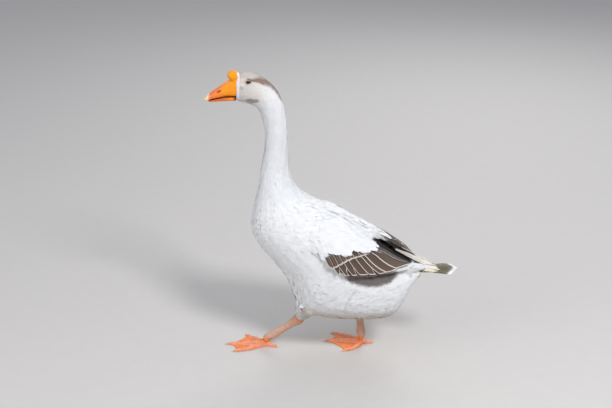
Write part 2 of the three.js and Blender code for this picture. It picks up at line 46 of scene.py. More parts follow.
# ---------------- the bird's measures
# Cross sections of head, neck and trunk: x and z of the upper point, x and z of the lower one.
SECTIONS = np.array([
    [-231, 723, -232, 661], [-221, 731, -223, 657.5], [-205, 734, -211.5, 655.5],
    [-186, 730, -202, 653], [-165, 718.5, -193, 650.5], [-143.5, 700.5, -185.5, 646],
    [-126.5, 677, -178.5, 638], [-115.5, 645, -170.5, 621.5], [-110, 609, -166, 598.5],
    [-107, 565, -164.5, 562], [-107, 526, -167, 526], [-105, 487, -176.5, 483],
    [-95, 453.5, -183, 441], [-74, 425, -191.5, 396], [-46, 408, -199, 362],
    [-18, 393, -200, 327], [9, 378, -181, 288], [35, 362, -146, 246], [58, 346, -112, 201],
    [78, 331, -93, 147], [96, 317, -68, 107], [117, 300, -12, 95], [142, 283, 56, 93],
    [165, 268, 118, 95], [183, 258, 160, 107], [200, 251, 186, 142], [214, 245, 206, 184],
    [226, 240, 228, 214]], float)
# The folded wings: lower edge x, y, z, then upper edge; each bows out between them.
WING_FRONT = [[-62, 80, 342, -36, 46, 380], [-46, 97, 321, -22, 30, 390],
              [-19, 107, 293, -2, 19, 389], [15, 110.5, 266, 22, 12, 379]]
WINGS = {
    -1: np.array(WING_FRONT + [
        [50, 110, 249, 50, 10, 359], [86, 107, 245, 81, 15, 331], [121, 100, 247, 113, 23, 307],
        [151, 90, 249, 143, 28, 286], [180, 76, 250.5, 173, 26, 267], [206, 56, 250, 198, 19, 254],
        [230, 40, 246, 222, 17, 246], [252, 27, 241, 246, 14, 239]], float),
    1: np.array(WING_FRONT + [
        [50, 110, 249, 50, 8, 363], [86, 107, 245, 82, 6, 345], [121, 100, 247, 115, 5, 325],
        [151, 90, 249, 146, 5, 305], [180, 76, 250.5, 175, 6, 284], [206, 56, 250, 199, 8, 264],
        [230, 40, 246, 222, 10, 248], [252, 27, 241, 246, 12, 239]], float),
}
EYE = np.array([-200.5, 13.0, 713.2])
BALL = np.array([-200.5, 14.9, 712.0])
BALL_RADIUS = 6.8
EYE_MIDDLE = EYE[[0, 2]]
EYE_BARE = (8.3, 6.1)            # no feather grows in this oval
EYE_SUNK = (7.2, 5.6)            # behind this one the skin gives way to the eyeball
EYE_OPENING = (5.4, 3.5)
EYE_DROP = 1.2                   # how far the opening lies under the socket's middle
LID_OUTER = (8.5, 6.3)
LID_STEPS = 56
NOSTRIL = np.array([-273.5, 11.0, 684.5])
TAIL_ROOT = np.array([200.0, 0, 235.0])
TAIL_LENGTH = 121.0
TAIL_FEATHERS = 7
TAIL_WIDTH = 20.0
TAIL_COVERTS = 70
THIGHS = {-1: ((-50, -44, 138), (-79, -25, 86)), 1: ((60, 36, 134), (74, 20, 82))}
LEGS = {
    -1: {"tarsus": ((-79, -24, 84), (-167, -18, 17)),
         "toes": (((-222, -20), (-276, -21)), ((-208, -46), (-251, -60)),
                  ((-203, 12), (-229, 37)), ((-151, -22), (-131, -27)))},
    1: {"tarsus": ((72, 22, 124), (81, 15, 17)),
        "toes": (((28, 17), (-24, 19)), ((40, 44), (-4, 66)), ((66, -16), (29, -35)),
                 ((96, 17), (115, 22)))},
}
TOE_AXIS_Z = 6.0
SIDES = ((-1, "left"), (1, "right"))

# ---------------- colours, linear light
WHITE = (0.72, 0.725, 0.73)
# painted shade: cool grey laid faintly over the white neck
COOL_NECK_SHADE = (0.60, 0.635, 0.68)
# partly stain, partly painted light bounced up from the ground onto the belly
STAIN_AND_BOUNCE_LIGHT = (0.55, 0.43, 0.29)
FAWN = (0.62, 0.56, 0.50)
CROWN = (0.52, 0.47, 0.43)
STRIPE = (0.22, 0.135, 0.098)
PATCH = (0.22, 0.16, 0.13)
BROWN = (0.066, 0.042, 0.031)
BROWN_DARK = (0.050, 0.035, 0.028)
# painted shadow: black in the gap between the wings
GAP_SHADOW = (0.008, 0.006, 0.006)
FLANK = (0.105, 0.08, 0.074)
CREAM = (0.66, 0.61, 0.55)
BUFF = (0.62, 0.50, 0.28)
OLIVE = (0.085, 0.068, 0.026)
BILL = (0.88, 0.285, 0.006)
BILL_PINK = (0.80, 0.20, 0.06)
# painted shade along the upper bill's cutting edge and in the notch at the knob
BILL_SHADE = (0.55, 0.13, 0.012)
KNOB = (0.90, 0.31, 0.004)
NOSTRIL_RED = (0.36, 0.035, 0.004)
NAIL = (0.82, 0.62, 0.40)
LEG = (0.60, 0.33, 0.22)
LEG_GREY = (0.47, 0.34, 0.27)
WEB = (0.78, 0.22, 0.055)
TOE = (0.78, 0.33, 0.21)
CLAW = (0.68, 0.62, 0.52)
FACE_EDGE = (0.82, 0.82, 0.86)   # white line round the bill's base
# partly stained down, partly painted shade from the belly above the thighs
CUFF_STAIN_AND_SHADE = (0.42, 0.37, 0.32)        # stained down over the hock
# painted shade along the crease where the flank closes over the thigh
CREASE_SHADE = (0.40, 0.40, 0.42)
VENT = (0.46, 0.45, 0.45)
# painted shade: the lower bill under the upper one, and the dark gap and corner of the mouth
LOWER_BILL_SHADE = (0.66, 0.13, 0.012)
MOUTH_SHADE_UPPER = (0.26, 0.05, 0.012)
MOUTH_SHADE_LOWER = (0.14, 0.03, 0.01)
MOUTH_CORNER_SHADE = (0.14, 0.025, 0.008)
NAIL_EDGE = (0.62, 0.42, 0.24)
LID = (0.34, 0.28, 0.24)
LID_FRONT = (0.86, 0.30, 0.02)
LID_MARGIN = (0.09, 0.06, 0.05)
HOCK = (0.80, 0.27, 0.04)


def ramp(low, high, value):
    t = np.clip((np.asarray(value, float) - low) / (high - low), 0, 1)
    return t * t * (3 - 2 * t)


def unit(v):
    return v / np.maximum(np.linalg.norm(v, axis=-1, keepdims=True), 1e-12)


def blend(base, other, amount):
    return base + (np.asarray(other, float) - base) * np.clip(amount, 0, 1)[..., None]


def flat_colour(colour, points):
    return np.tile(np.array(colour), (len(points), 1))


def side_reach(points, place, size):
    """Distance from a place in the side view, in units of a half width and a half height."""
    return np.hypot((points[:, 0] - place[0]) / size[0], (points[:, 2] - place[1]) / size[1])


# ---------------- meshes
def linked(name, data):
    thing = bpy.data.objects.new(name, data)
    bpy.context.scene.collection.objects.link(thing)
    return thing


def pulled(items, key, kind=np.float32, width=3):
    """One property of all vertices, triangles, edges or corners of a mesh."""
    values = np.empty(len(items) * width, kind)
    items.foreach_get(key, values)
    return values.reshape(-1, width)


def places(mesh):
    return pulled(mesh.vertices, "co").astype(float) / MM + ORIGIN


def near_tree(points):
    tree = KDTree(len(points))
    for index, place in enumerate(points):
        tree.insert(place, index)
    tree.balance()
    return tree


def new_mesh(name, points, faces, attributes=None, uv=None, rim=None):
    """A mesh from points in design millimetres and faces that all have the same number of corners."""
    mesh = bpy.data.meshes.new(name)
    place = (np.asarray(points, float) - ORIGIN) * MM
    faces = np.asarray(faces, np.int32)
    corners = faces.shape[1]
    mesh.vertices.add(len(place))
    mesh.vertices.foreach_set("co", place.astype(np.float32).ravel())
    mesh.loops.add(faces.size)
    mesh.loops.foreach_set("vertex_index", faces.ravel())
    mesh.polygons.add(len(faces))
    mesh.polygons.foreach_set("loop_start", np.arange(0, faces.size, corners, dtype=np.int32))
    mesh.update(calc_edges=True)
    mesh.validate()
    for key, value in (attributes or {}).items():
        value = np.asarray(value, np.float32)
        if value.ndim == 1:
            mesh.attributes.new(key, "FLOAT", "POINT").data.foreach_set("value", value)
        else:
            colour = np.ones((len(value), 4), np.float32)
            colour[:, :3] = value
            mesh.attributes.new(key, "FLOAT_COLOR", "POINT").data.foreach_set("color", colour.ravel())
    if uv is not None:
        layer = mesh.uv_layers.new(name="OFBake")
        layer.uv.foreach_set("vector", np.asarray(uv, np.float32)[faces.ravel()].ravel()
                             if len(uv) == len(place) else np.asarray(uv, np.float32).ravel())
    mesh.shade_smooth()
    if rim is not None:
        sharp = rim[pulled(mesh.edges, "vertices", np.int32, 2)].all(1)
        mesh.attributes.new("sharp_edge", "BOOLEAN", "EDGE").data.foreach_set("value", sharp)
    return mesh


def new_piece(name, mesh, material, slot_name, *nodes):
    piece = linked(name, mesh)
    mesh.materials.append(material)
    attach(piece, "root")
    if nodes:
        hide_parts(*nodes)
    return piece


def node_solid(name):
    """Welded points and triangles of a CAD node, in design millimetres."""
    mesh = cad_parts[name].data
    points = places(mesh)
    mesh.calc_loop_triangles()
    tris = pulled(mesh.loop_triangles, "vertices", np.int32)
    _, first, index = np.unique(np.round(points * 100).astype(np.int64), axis=0,
                                return_index=True, return_inverse=True)
    tris = index.ravel()[tris]
    whole = (tris[:, 0] != tris[:, 1]) & (tris[:, 1] != tris[:, 2]) & (tris[:, 0] != tris[:, 2])
    return points[first], tris[whole]


def point_normals(points, faces):
    """Area-weighted normals of the points."""
    a, b, c = points[faces[:, 0]], points[faces[:, 1]], points[faces[:, 2]]
    across = np.cross(b - a, c - a)
    if faces.shape[1] == 4:
        across = np.cross(c - a, points[faces[:, 3]] - b)
    total = np.zeros_like(points)
    for k in range(faces.shape[1]):
        np.add.at(total, faces[:, k], across)
    return unit(total)


def joined_solid(names, grow=0.0):
    """Points and triangles of some nodes as one, and the place in the list of each triangle's node."""
    points, tris, owner, count = [], [], [], 0
    for index, name in enumerate(names):
        p, t = node_solid(name)
        points.append(p + point_normals(p, t) * grow)
        tris.append(t + count)
        owner += [index] * len(t)
        count += len(p)
    return np.concatenate(points), np.concatenate(tris), np.array(owner)


def remeshed(points, tris, voxel):
    """One closed skin of even quads round the given solids."""
    holder = linked("remesh_work", new_mesh("remesh_work", points, tris))
    modifier = holder.modifiers.new("voxels", "REMESH")
    modifier.mode = "VOXEL"
    modifier.voxel_size = voxel * MM
    modifier.use_smooth_shade = True
    whole = holder.evaluated_get(bpy.context.evaluated_depsgraph_get()).to_mesh()
    points = places(whole)
    quads = np.array([p.vertices[:] for p in whole.polygons], np.int32)
    bpy.data.objects.remove(holder)
    return points, quads


class Smoother:
    """Averages values over the neighbours of each point of a mesh."""

    def __init__(self, count, faces):
        corners = faces.shape[1]
        pairs = np.concatenate([faces[:, [k, (k + 1) % corners]] for k in range(corners)])
        pairs = np.unique(np.sort(pairs, axis=1), axis=0)
        self.one = np.concatenate([pairs[:, 0], pairs[:, 1]])
        self.two = np.concatenate([pairs[:, 1], pairs[:, 0]])
        self.degree = np.maximum(np.bincount(self.one, minlength=count), 1)
        self.count = count

    def mean(self, values):
        if values.ndim == 1:
            return np.bincount(self.one, values[self.two], self.count) / self.degree
        return np.stack([self.mean(values[:, k]) for k in range(values.shape[1])], 1)

    def relax(self, values, passes, keep_volume=True):
        for _ in range(passes):
            values = values + 0.5 * (self.mean(values) - values)
            if keep_volume:
                values = values - 0.53 * (self.mean(values) - values)
        return values


def tree_of(points, faces):
    return BVHTree.FromPolygons([Vector(p) for p in points], [tuple(f) for f in faces.tolist()])


# ---------------- the lie of the coat
top, low = SECTIONS[:, :2], SECTIONS[:, 2:]
AXIS = np.stack([(top[:, 0] + low[:, 0]) / 2, np.zeros(len(top)), (top[:, 1] + low[:, 1]) / 2], 1)
AXIS_UP = unit(np.stack([top[:, 0] - low[:, 0], np.zeros(len(top)), top[:, 1] - low[:, 1]], 1))
AXIS_ALONG = np.cross(np.array([0, 1.0, 0]), AXIS_UP)
fine = np.linspace(0, len(AXIS) - 1, (len(AXIS) - 1) * 3 + 1)
AXIS, AXIS_UP, AXIS_ALONG = (
    np.stack([np.interp(fine, np.arange(len(a)), a[:, k]) for k in range(3)], 1)
    for a in (AXIS, AXIS_UP, AXIS_ALONG))
AXIS_S = np.concatenate([[0], np.cumsum(np.linalg.norm(np.diff(AXIS, axis=0), axis=1))])


def lie(points):
    """Distance along the body, angle round it from the back, and the direction from head to tail."""
    s, angle, along = [], [], []
    for chunk in np.array_split(np.asarray(points, float), max(1, len(points) // 20000 + 1)):
        away = chunk[:, None, :] - AXIS[None]
        weight = 1 / np.maximum((away ** 2).sum(-1), 1.0) ** 4
        weight /= weight.sum(1, keepdims=True)
        s.append((weight * (AXIS_S + (away * AXIS_ALONG).sum(-1))).sum(1))
        angle.append(np.arctan2(chunk[:, 1], (weight * (away * AXIS_UP).sum(-1)).sum(1)))
        along.append(weight @ AXIS_ALONG)
    return np.concatenate(s), np.concatenate(angle), unit(np.concatenate(along))


def on_line(x, table, column=1):
    """The value of a table's column at x, where the first column holds x."""
    return np.interp(x, table[:, 0], table[:, column])


def wing_row(u, side):
    """The wing's lower and upper edge at station u, on a smooth curve through the sections."""
    u = np.asarray(u, float)
    table = WINGS[side]
    i = np.clip(np.floor(u).astype(int), 0, len(table) - 2)
    f = (u - i)[..., None]
    pick = lambda k: table[np.clip(k, 0, len(table) - 1)]
    before, a, b, after = pick(i - 1), pick(i), pick(i + 1), pick(i + 2)
    m0, m1 = (b - before) / 2, (after - a) / 2
    return ((2 * a - 2 * b + m0 + m1) * f + (-3 * a + 3 * b - 2 * m0 - m1)) * f * f + m0 * f + a


def wing_point(u, t, side):
    row = wing_row(u, side)
    t = np.asarray(t, float)
    turn = t * np.pi / 2
    x = row[..., 0] * (1 - t) + row[..., 3] * t
    y = row[..., 4] + (row[..., 1] - row[..., 4]) * np.cos(turn)
    z = row[..., 2] + (row[..., 5] - row[..., 2]) * np.sin(turn)
    return np.stack([x, side * y, z], -1)


def wing_frame(u, t, side):
    """Point, direction to the rear, direction up across the wing, and outward normal."""
    step = 0.02
    point = wing_point(u, t, side)
    rear = unit(wing_point(np.asarray(u) + step, t, side) - wing_point(np.asarray(u) - step, t, side))
    up = unit(wing_point(u, np.asarray(t) + step, side) - wing_point(u, np.asarray(t) - step, side))
    normal = unit(np.cross(rear, up)) * (1 if side < 0 else -1)
    return point, rear, up, normal


GRID_U, GRID_T = np.meshgrid(np.linspace(0, 10.6, 107), np.linspace(-0.05, 1.05, 45), indexing="ij")
GRID_U, GRID_T = GRID_U.ravel(), GRID_T.ravel()
wing_trees = {side: near_tree(wing_point(GRID_U, GRID_T, side)) for side in (-1, 1)}


def wing_place(points):
    """Station and height on the folded wing nearest to each point."""
    index = np.array([wing_trees[-1 if p[1] < 0 else 1].find(p)[1] for p in points])
    return GRID_U[index], GRID_T[index]


# The brown feathers' field on each wing: station, its lower border and its upper border.
FIELD_FRONT = [[0, 0.0, -0.5], [2.2, 0.10, 0.07], [2.85, 0.03, 0.19], [3.25, -0.03, 0.22],
               [4.2, 0.03, 0.32], [4.7, 0.06, 0.41], [5.05, 0.07, 0.47], [5.8, 0.08, 0.58]]
BROWN_FIELD = {
    -1: np.array(FIELD_FRONT + [
        [6.2, 0.08, 0.72], [6.58, 0.10, 0.92], [6.9, 0.12, 1.2], [7.28, 0.15, 1.2], [8.83, 0.65, 1.2],
        [9.6, 1.05, 1.2], [11, 1.2, 1.2]]),
    1: np.array(FIELD_FRONT + [
        [6.6, 0.10, 0.70], [7.3, 0.15, 0.86], [7.6, 0.2, 1.2], [8.83, 0.55, 1.2], [9.8, 0.85, 1.2],
        [11, 1.1, 1.2]]),
}


def brown_field(u, t, side):
    """How far a place lies inside the brown field, in shares of the wing's height."""
    field = BROWN_FIELD[side]
    return np.minimum(t - on_line(u, field), on_line(u, field, 2) - t)


def in_brown(u, t, points):
    return np.where(points[:, 1] < 0, brown_field(u, t, -1), brown_field(u, t, 1))


# ---------------- the skin
FLESH = ["head", "neck_upper", "neck_middle", "neck_lower", "trunk", "rump", "wing_left",
         "wing_right", "thigh_left", "thigh_right"]
FLIGHT = ["flight_feathers_left", "flight_feathers_right"]
REGIONS = FLESH + FLIGHT
WING = ["wing_left", "wing_right"] + FLIGHT
THIGH = ["thigh_left", "thigh_right"]
VOXEL = 2.6
SKIN_GROWTH = 0.45               # makes good what voxels and smoothing take off
SKIN_PASSES, BACK_PASSES = 14, 60
COAT_SHARE = 0.36                # the most of a thin part's thickness that the coat may take
RAY_START, RAY_LENGTH = 0.6, 60.0
EYE_WALL = 8                     # nearer to the middle plane than this nothing belongs to an eye
SOCKET_BACK = 10.5
region_points, region_tris, region_of_tri = joined_solid(REGIONS)
region_tree = tree_of(region_points, region_tris)


def region_at(points):
    return region_of_tri[[region_tree.find_nearest(Vector(p))[2] for p in points]]


def is_region(regions, *names):
    return np.isin(regions, [REGIONS.index(n) for n in names])


skin_points, skin_faces = remeshed(*joined_solid(REGIONS + ["knob"], SKIN_GROWTH)[:2], VOXEL)
skin_smoother = Smoother(len(skin_points), skin_faces)
skin_points = skin_smoother.relax(skin_points, SKIN_PASSES)
# Shoulder feathers close the furrow between the wings on the fore part of the back.
over_back = (ramp(-75, -50, skin_points[:, 0]) * ramp(116, 98, skin_points[:, 0])
             * ramp(34, 24, np.abs(skin_points[:, 1])) * (skin_points[:, 2] > 290))
filled = skin_smoother.relax(skin_points, BACK_PASSES, keep_volume=False)
skin_points += (filled - skin_points) * over_back[:, None]

COAT_DEPTHS = np.array([1.0, 1.8, 2.1, 2.5, 3.3, 3.4, 2.8, 2.8, 2.8, 2.8, 2.4, 2.4])  # by region
skin_region = region_at(skin_points)

# The head's own curve runs on over the eye sockets, so that the lids and feathers have a bed.
for side in (-1, 1):
    dx, dz = (skin_points[:, 0] - EYE[0]) / 10, (skin_points[:, 2] - EYE[2]) / 10
    radius = np.hypot(dx, dz)
    on_side = skin_points[:, 1] * side > 3
    terms = np.stack([np.ones_like(dx), dx, dz, dx * dx, dx * dz, dz * dz], 1)
    ring = on_side & (radius > 1.1) & (radius < 1.5)
    fit = np.linalg.lstsq(terms[ring], np.abs(skin_points[ring, 1]), rcond=None)[0]
    fill = np.where(on_side, 1 - ramp(0.95, 1.25, radius), 0)
    skin_points[:, 1] += side * fill * np.maximum(terms @ fit - np.abs(skin_points[:, 1]), 0)
outer_points = skin_points.copy()
outer_normals = point_normals(skin_points, skin_faces)
outer_tree = tree_of(outer_points, skin_faces)


def thickness_at(points, normals):
    """How much solid lies under each point of the surface."""
    deep = np.full(len(points), RAY_LENGTH)
    for k, (p, n) in enumerate(zip(points, normals)):
        hit = outer_tree.ray_cast(Vector(p - n * RAY_START), Vector(-n), RAY_LENGTH)
        if hit[0] is not None:
            deep[k] = hit[3] + RAY_START
    return deep


depth = np.minimum(COAT_DEPTHS[skin_region], COAT_SHARE * thickness_at(skin_points, outer_normals))
depth = skin_smoother.relax(depth, 12, keep_volume=False)
skin_points = skin_points - outer_normals * depth[:, None]
skin_points = skin_smoother.relax(skin_points, 3)

# The skin sinks behind the eyeballs.
for side in (-1, 1):
    near = skin_points[:, 1] * side > EYE_WALL
    sink = np.where(near, 1 - ramp(0.75, 1.15, side_reach(skin_points, EYE_MIDDLE, EYE_SUNK)), 0)
    skin_points[:, 1] -= side * sink * (np.abs(skin_points[:, 1]) - SOCKET_BACK)

skin_normals = point_normals(skin_points, skin_faces)
skin_s, skin_angle, skin_along = lie(skin_points)
face_normals = unit(skin_normals[skin_faces].mean(1))
face_along = unit(skin_along[skin_faces].mean(1))
skin_tree = tree_of(skin_points, skin_faces)
S_LOW, S_HIGH = skin_s.min(), skin_s.max()


def unwrap(s, angle):
    """Place on the unwrap of the skin's own shape: along the body, and round it from the belly."""
    return np.stack([0.02 + 0.96 * (s - S_LOW) / (S_HIGH - S_LOW),
                     0.02 + 0.96 * (np.asarray(angle) / (2 * np.pi) + 0.5)], -1)


# ---------------- markings
STRIPE_LINE = np.array([  # x, z and half width
    [-202, 719.5, 1.4], [-195, 717, 2.4], [-186, 716, 4.0], [-174, 715.5, 6.0], [-160, 709.5, 7.0],
    [-146, 699, 6.5], [-134, 685, 5.5], [-125, 668, 4.0], [-119, 650, 2.2]])
# Where the bill's horn ends on the face, by height.
RIM_Z = [663, 672, 682, 697.5, 713, 724, 735]
RIM_X = [-232.6, -231.2, -230.8, -229.6, -227.6, -228.0, -231.0]
SPECKS = np.array([[4.0, -18.3, 384.9], [15.9, -27.9, 377.2]])
SPOTS = np.array([[173.5, -65.3, 208.1], [202.6, -41.9, 223.1], [186, -54, 214]])

# The gap between the wings: x and y of the left wing's inner edge, x and z of the right wing's foot.
CLEFT_LEFT = np.array([[50, -10], [81, -15], [113, -23], [143, -28], [173, -26], [198, -19],
                       [222, -17]])
CLEFT_WALL = np.array([[60, 330], [79, 321], [117, 302], [145, 292], [160, 281.5], [188, 260.5],
                       [219, 243]])
CREASE_LINE = np.array([[70, 206, 1.5], [58, 188, 2.5], [48, 168, 3.0], [44, 150, 2.5], [50, 132, 1.5]])
GAP_FOOT = 236                   # no lower than this lies the gap
GAP_FRONT, GAP_REAR = (94, 106), (228, 218)      # where its black begins and ends
FLANK_LOW = np.array([[47, 233], [60, 226], [80, 219], [117, 214], [153, 220], [168, 231]])


def line_distance(px, pz, line):
    """Distance from points to a broken line in the side view, in units of the line's own half width."""
    best = np.full(px.shape, 1e9)
    for (ax, az, aw), (bx, bz, bw) in zip(line[:-1], line[1:]):
        ex, ez = bx - ax, bz - az
        f = np.clip(((px - ax) * ex + (pz - az) * ez) / (ex * ex + ez * ez), 0, 1)
        d = np.hypot(px - ax - f * ex, pz - az - f * ez) / (aw + (bw - aw) * f)
        best = np.minimum(best, d)
    return best


def wobble(points, size, seed):
    """A smooth field between -1 and 1 that varies over the given length."""
    draw = np.random.default_rng(seed)
    total = np.zeros(len(points))
    for _ in range(5):
        wave = unit(draw.normal(size=3)) * (2 * np.pi / size) * draw.uniform(0.7, 1.5)
        total += np.sin(points @ wave + draw.uniform(0, 2 * np.pi))
    return total / 5 * 1.6


def markings(points, regions):
    """Colour of skin and coat at each point."""
    x, y, z = points.T
    colour = flat_colour(WHITE, points)
    head = ramp(-128, -150, x) * ramp(640, 664, z)
    soft = wobble(points, 26, 3)
    fine_soft = wobble(points, 9, 4)
    # Cheek and face: cream fawn, paler to the neck.
    fawn = ramp(-134, -190, x + 5 * soft) * ramp(646, 672, z) * head
    colour = blend(colour, FAWN, 0.66 * fawn)
    crown = ramp(717, 724, z + 2 * fine_soft) * ramp(-146, -160, x) * head
    colour = blend(colour, CROWN, 0.85 * crown)
    nape = ramp(-110, -128, x) * ramp(640, 668, z)
    lateral = np.abs(y) * ramp(-172, -150, x)
    off = line_distance(x, z, STRIPE_LINE)
    off = np.hypot(off, lateral / np.interp(z, [660, 700], [6.5, 14.0])) + 0.12 * fine_soft
    above = ramp(-1, 5, z - on_line(x, STRIPE_LINE)) * (x < -150)
    colour = blend(colour, STRIPE, 0.45 * (1 - ramp(0.8, 2.3, off)) * above * head)
    colour = blend(colour, STRIPE, 0.92 * (1 - ramp(0.45, 1.3, off)) * nape)
    patch = np.hypot((x + 190) / 20, (z - 666 - 0.04 * (x + 190)) / 6.6) + 0.2 * fine_soft
    colour = blend(colour, PATCH, 0.75 * (1 - ramp(0.5, 1.25, patch)) * ramp(3, 8, np.abs(y)))
    lore = side_reach(points, (-215, 706), (7, 5))
    colour = blend(colour, WHITE, 0.85 * (1 - ramp(0.5, 1.2, lore)))
    shade = side_reach(points, (-216, 697), (6, 4.5))
    colour = blend(colour, STRIPE, 0.32 * (1 - ramp(0.4, 1.3, shade)) * (x > -223))
    edge = np.interp(z, RIM_Z, RIM_X) + np.interp(z, [665, 690, 712, 735], [8.5, 8.0, 7.0, 5.0])
    colour = blend(colour, FACE_EDGE, 1 - ramp(-0.9, 0.9, x - edge))
    throat = ramp(668, 662, z + 0.16 * (x + 226)) * ramp(-204, -212, x)
    colour = blend(colour, WHITE, 0.9 * throat)
    # Neck: pale, under a faint cool painted shade.
    neck = ramp(660, 640, z) * ramp(400, 440, z)
    colour = blend(colour, COOL_NECK_SHADE, 0.16 * neck)
    # Trunk: warm tan along the belly, partly stain and partly painted light bounced up from the ground.
    under = ramp(150, 112, z) * ramp(-80, -50, x)
    colour = blend(colour, STAIN_AND_BOUNCE_LIGHT, 0.85 * under * (0.8 + 0.2 * soft))
    # The thighs below the belly: stained grey-tan, darkened further as painted shade.
    cuff_stain_and_shade = is_region(regions, *THIGH) * ramp(168, 140, z)
    cuff_stain_and_shade = cuff_stain_and_shade * (0.6 + 0.4 * wobble(points * (1, 1, 0.4), 6, 8))
    colour = blend(colour, CUFF_STAIN_AND_SHADE, 0.8 * cuff_stain_and_shade)
    # The flank's feathers close over the thigh, with painted shade along the crease; behind it the down
    # is streaked with grey.
    crease = line_distance(x, z, CREASE_LINE) + 0.25 * fine_soft
    colour = blend(colour, CREASE_SHADE, 0.5 * (1 - ramp(0.3, 1.3, crease)) * (np.abs(y) > 60))
    vent = ramp(60, 110, x) * ramp(215, 190, z)
    vent = vent * ramp(0.2, 0.9, wobble(points * (0.5, 1, 1.6), 13, 5))
    colour = blend(colour, VENT, 0.3 * vent)
    # Dark flank under the wing on the left, with loose spots behind it.
    left = y < -30
    patch_low = on_line(x, FLANK_LOW) - 2.5 * fine_soft
    flank = ramp(38, 50, x) * ramp(176, 164, x) * ramp(patch_low - 5, patch_low + 4, z)
    flank = flank * ramp(262, 250, z) * (np.abs(y) > 30)
    colour = blend(colour, FLANK, 0.94 * flank)
    for spot in SPOTS:
        d = np.linalg.norm(points - spot, axis=1) / 6.0 + 0.25 * fine_soft
        colour = blend(colour, PATCH, 0.6 * (1 - ramp(0.4, 1.1, d)) * left)
    for spot in SPECKS:
        d = np.linalg.norm(points - spot, axis=1) / 3.4
        colour = blend(colour, PATCH, 0.55 * (1 - ramp(0.5, 1.3, d)))
    # Wings: brown behind the white coverts, black painted shadow in the gap between the wings.
    on_wing = is_region(regions, *WING)
    u, t = wing_place(points)
    brown = ramp(-0.025, 0.025, in_brown(u, t, points)) * on_wing
    colour = blend(colour, BROWN, 0.96 * brown)
    edge_left = on_line(x, CLEFT_LEFT)
    wall = on_line(x, CLEFT_WALL)
    cleft_shadow = ramp(0.0, 2.5, y - edge_left) * ramp(9, 7, y) * ramp(1.5, -0.5, z - wall)
    cleft_shadow = cleft_shadow * ramp(*GAP_FRONT, x) * ramp(*GAP_REAR, x) * (z > GAP_FOOT)
    # the back at the floor of the gap gets the black painted shadow as well
    floor = is_region(regions, "trunk", "rump") * ramp(104, 114, x) * ramp(212, 202, x)
    floor = floor * ramp(244, 252, z) * ramp(33, 29, np.abs(y))
    colour = blend(colour, GAP_SHADOW, 0.98 * np.maximum(cleft_shadow, floor))
    # The right wing's inner side under the roof line: darker brown painted shade.
    roof = np.interp(x, [106, 164, 172, 180], [303, 296, 330, 400])
    under_right = on_line(u, BROWN_FIELD[1])
    behind = on_wing * (y > 1) * ramp(-0.04, 0.04, t - under_right) * ramp(104, 112, x)
    behind = behind * ramp(1.5, -1.5, z - roof + fine_soft)
    colour = blend(colour, BROWN_DARK, 0.95 * behind)
    # Rump and tail root: stained.
    tail = ramp(214, 232, x) * (1 - on_wing)
    colour = blend(colour, BUFF, 0.5 * tail)
    return np.clip(colour, 0, 1)


# ---------------- materials
def nodes_of(name):
    material = bpy.data.materials.new(name)
    material.use_nodes = True
    tree = material.node_tree
    return material, tree, tree.nodes["Principled BSDF"]


def put(tree, socket, value):
    """Links a value or a socket to a node's input, or sets the input to a constant."""
    value = value.socket if isinstance(value, Value) else value
    if isinstance(value, bpy.types.NodeSocket):
        tree.links.new(value, socket)
    else:
        socket.default_value = value


def add(tree, kind, inputs=None, **settings):
    node = tree.nodes.new(kind)
    for key, value in settings.items():
        setattr(node, key, value)
    for key, value in (inputs or {}).items():
        put(tree, node.inputs[key], value)
    return node


class Value:
    """A number in a material's tree, so that a sum of nodes can be written as a sum."""

    def __init__(self, tree, socket):
        self.tree, self.socket = tree, socket

    def maths(self, operation, other=0.0):
        node = add(self.tree, "ShaderNodeMath", {0: self, 1: other}, operation=operation)
        return Value(self.tree, node.outputs[0])

    def __add__(self, other):
        return self.maths("ADD", other)

    def __sub__(self, other):
        return self.maths("SUBTRACT", other)

    def __mul__(self, other):
        return self.maths("MULTIPLY", other)

    def span(self, low, high, to_low=0.0, to_high=1.0):
        node = add(self.tree, "ShaderNodeMapRange", {0: self, 1: low, 2: high, 3: to_low, 4: to_high},
                   interpolation_type="SMOOTHSTEP")
        return Value(self.tree, node.outputs[0])


def mixed(tree, factor, a, b, mode="MIX"):
    inputs = {0: factor, 6: a, 7: b}
    return add(tree, "ShaderNodeMix", inputs, data_type="RGBA", blend_type=mode).outputs[2]


def attribute(tree, name, output="Fac"):
    node = add(tree, "ShaderNodeAttribute", attribute_name=name, attribute_type="GEOMETRY")
    return Value(tree, node.outputs[output])


def pattern(tree, kind, scale, inputs=None, **settings):
    place = add(tree, "ShaderNodeTexCoord").outputs["Object"]
    inputs = {"Vector": place, "Scale": scale, **(inputs or {})}
    return Value(tree, add(tree, kind, inputs, **settings).outputs[0])


def noise(tree, scale, detail=4.0, roughness=0.55):
    return pattern(tree, "ShaderNodeTexNoise", scale, {"Detail": detail, "Roughness": roughness})


def tinted(tree, value):
    """The surface's own tint, made lighter or darker by a value."""
    grey = add(tree, "ShaderNodeCombineColor", {0: value, 1: value, 2: value}).outputs[0]
    return mixed(tree, 1.0, attribute(tree, "tint", "Color"), grey, "MULTIPLY")


def finish_shader(tree, shader, colour, height, distance, roughness, **constants):
    bump = add(tree, "ShaderNodeBump", {"Height": height, "Distance": distance, "Strength": 1.0})
    inputs = {"Base Color": colour, "Roughness": roughness, "Normal": bump.outputs[0]}
    for key, value in {**inputs, **constants}.items():
        put(tree, shader.inputs[key.replace("_", " ")], value)


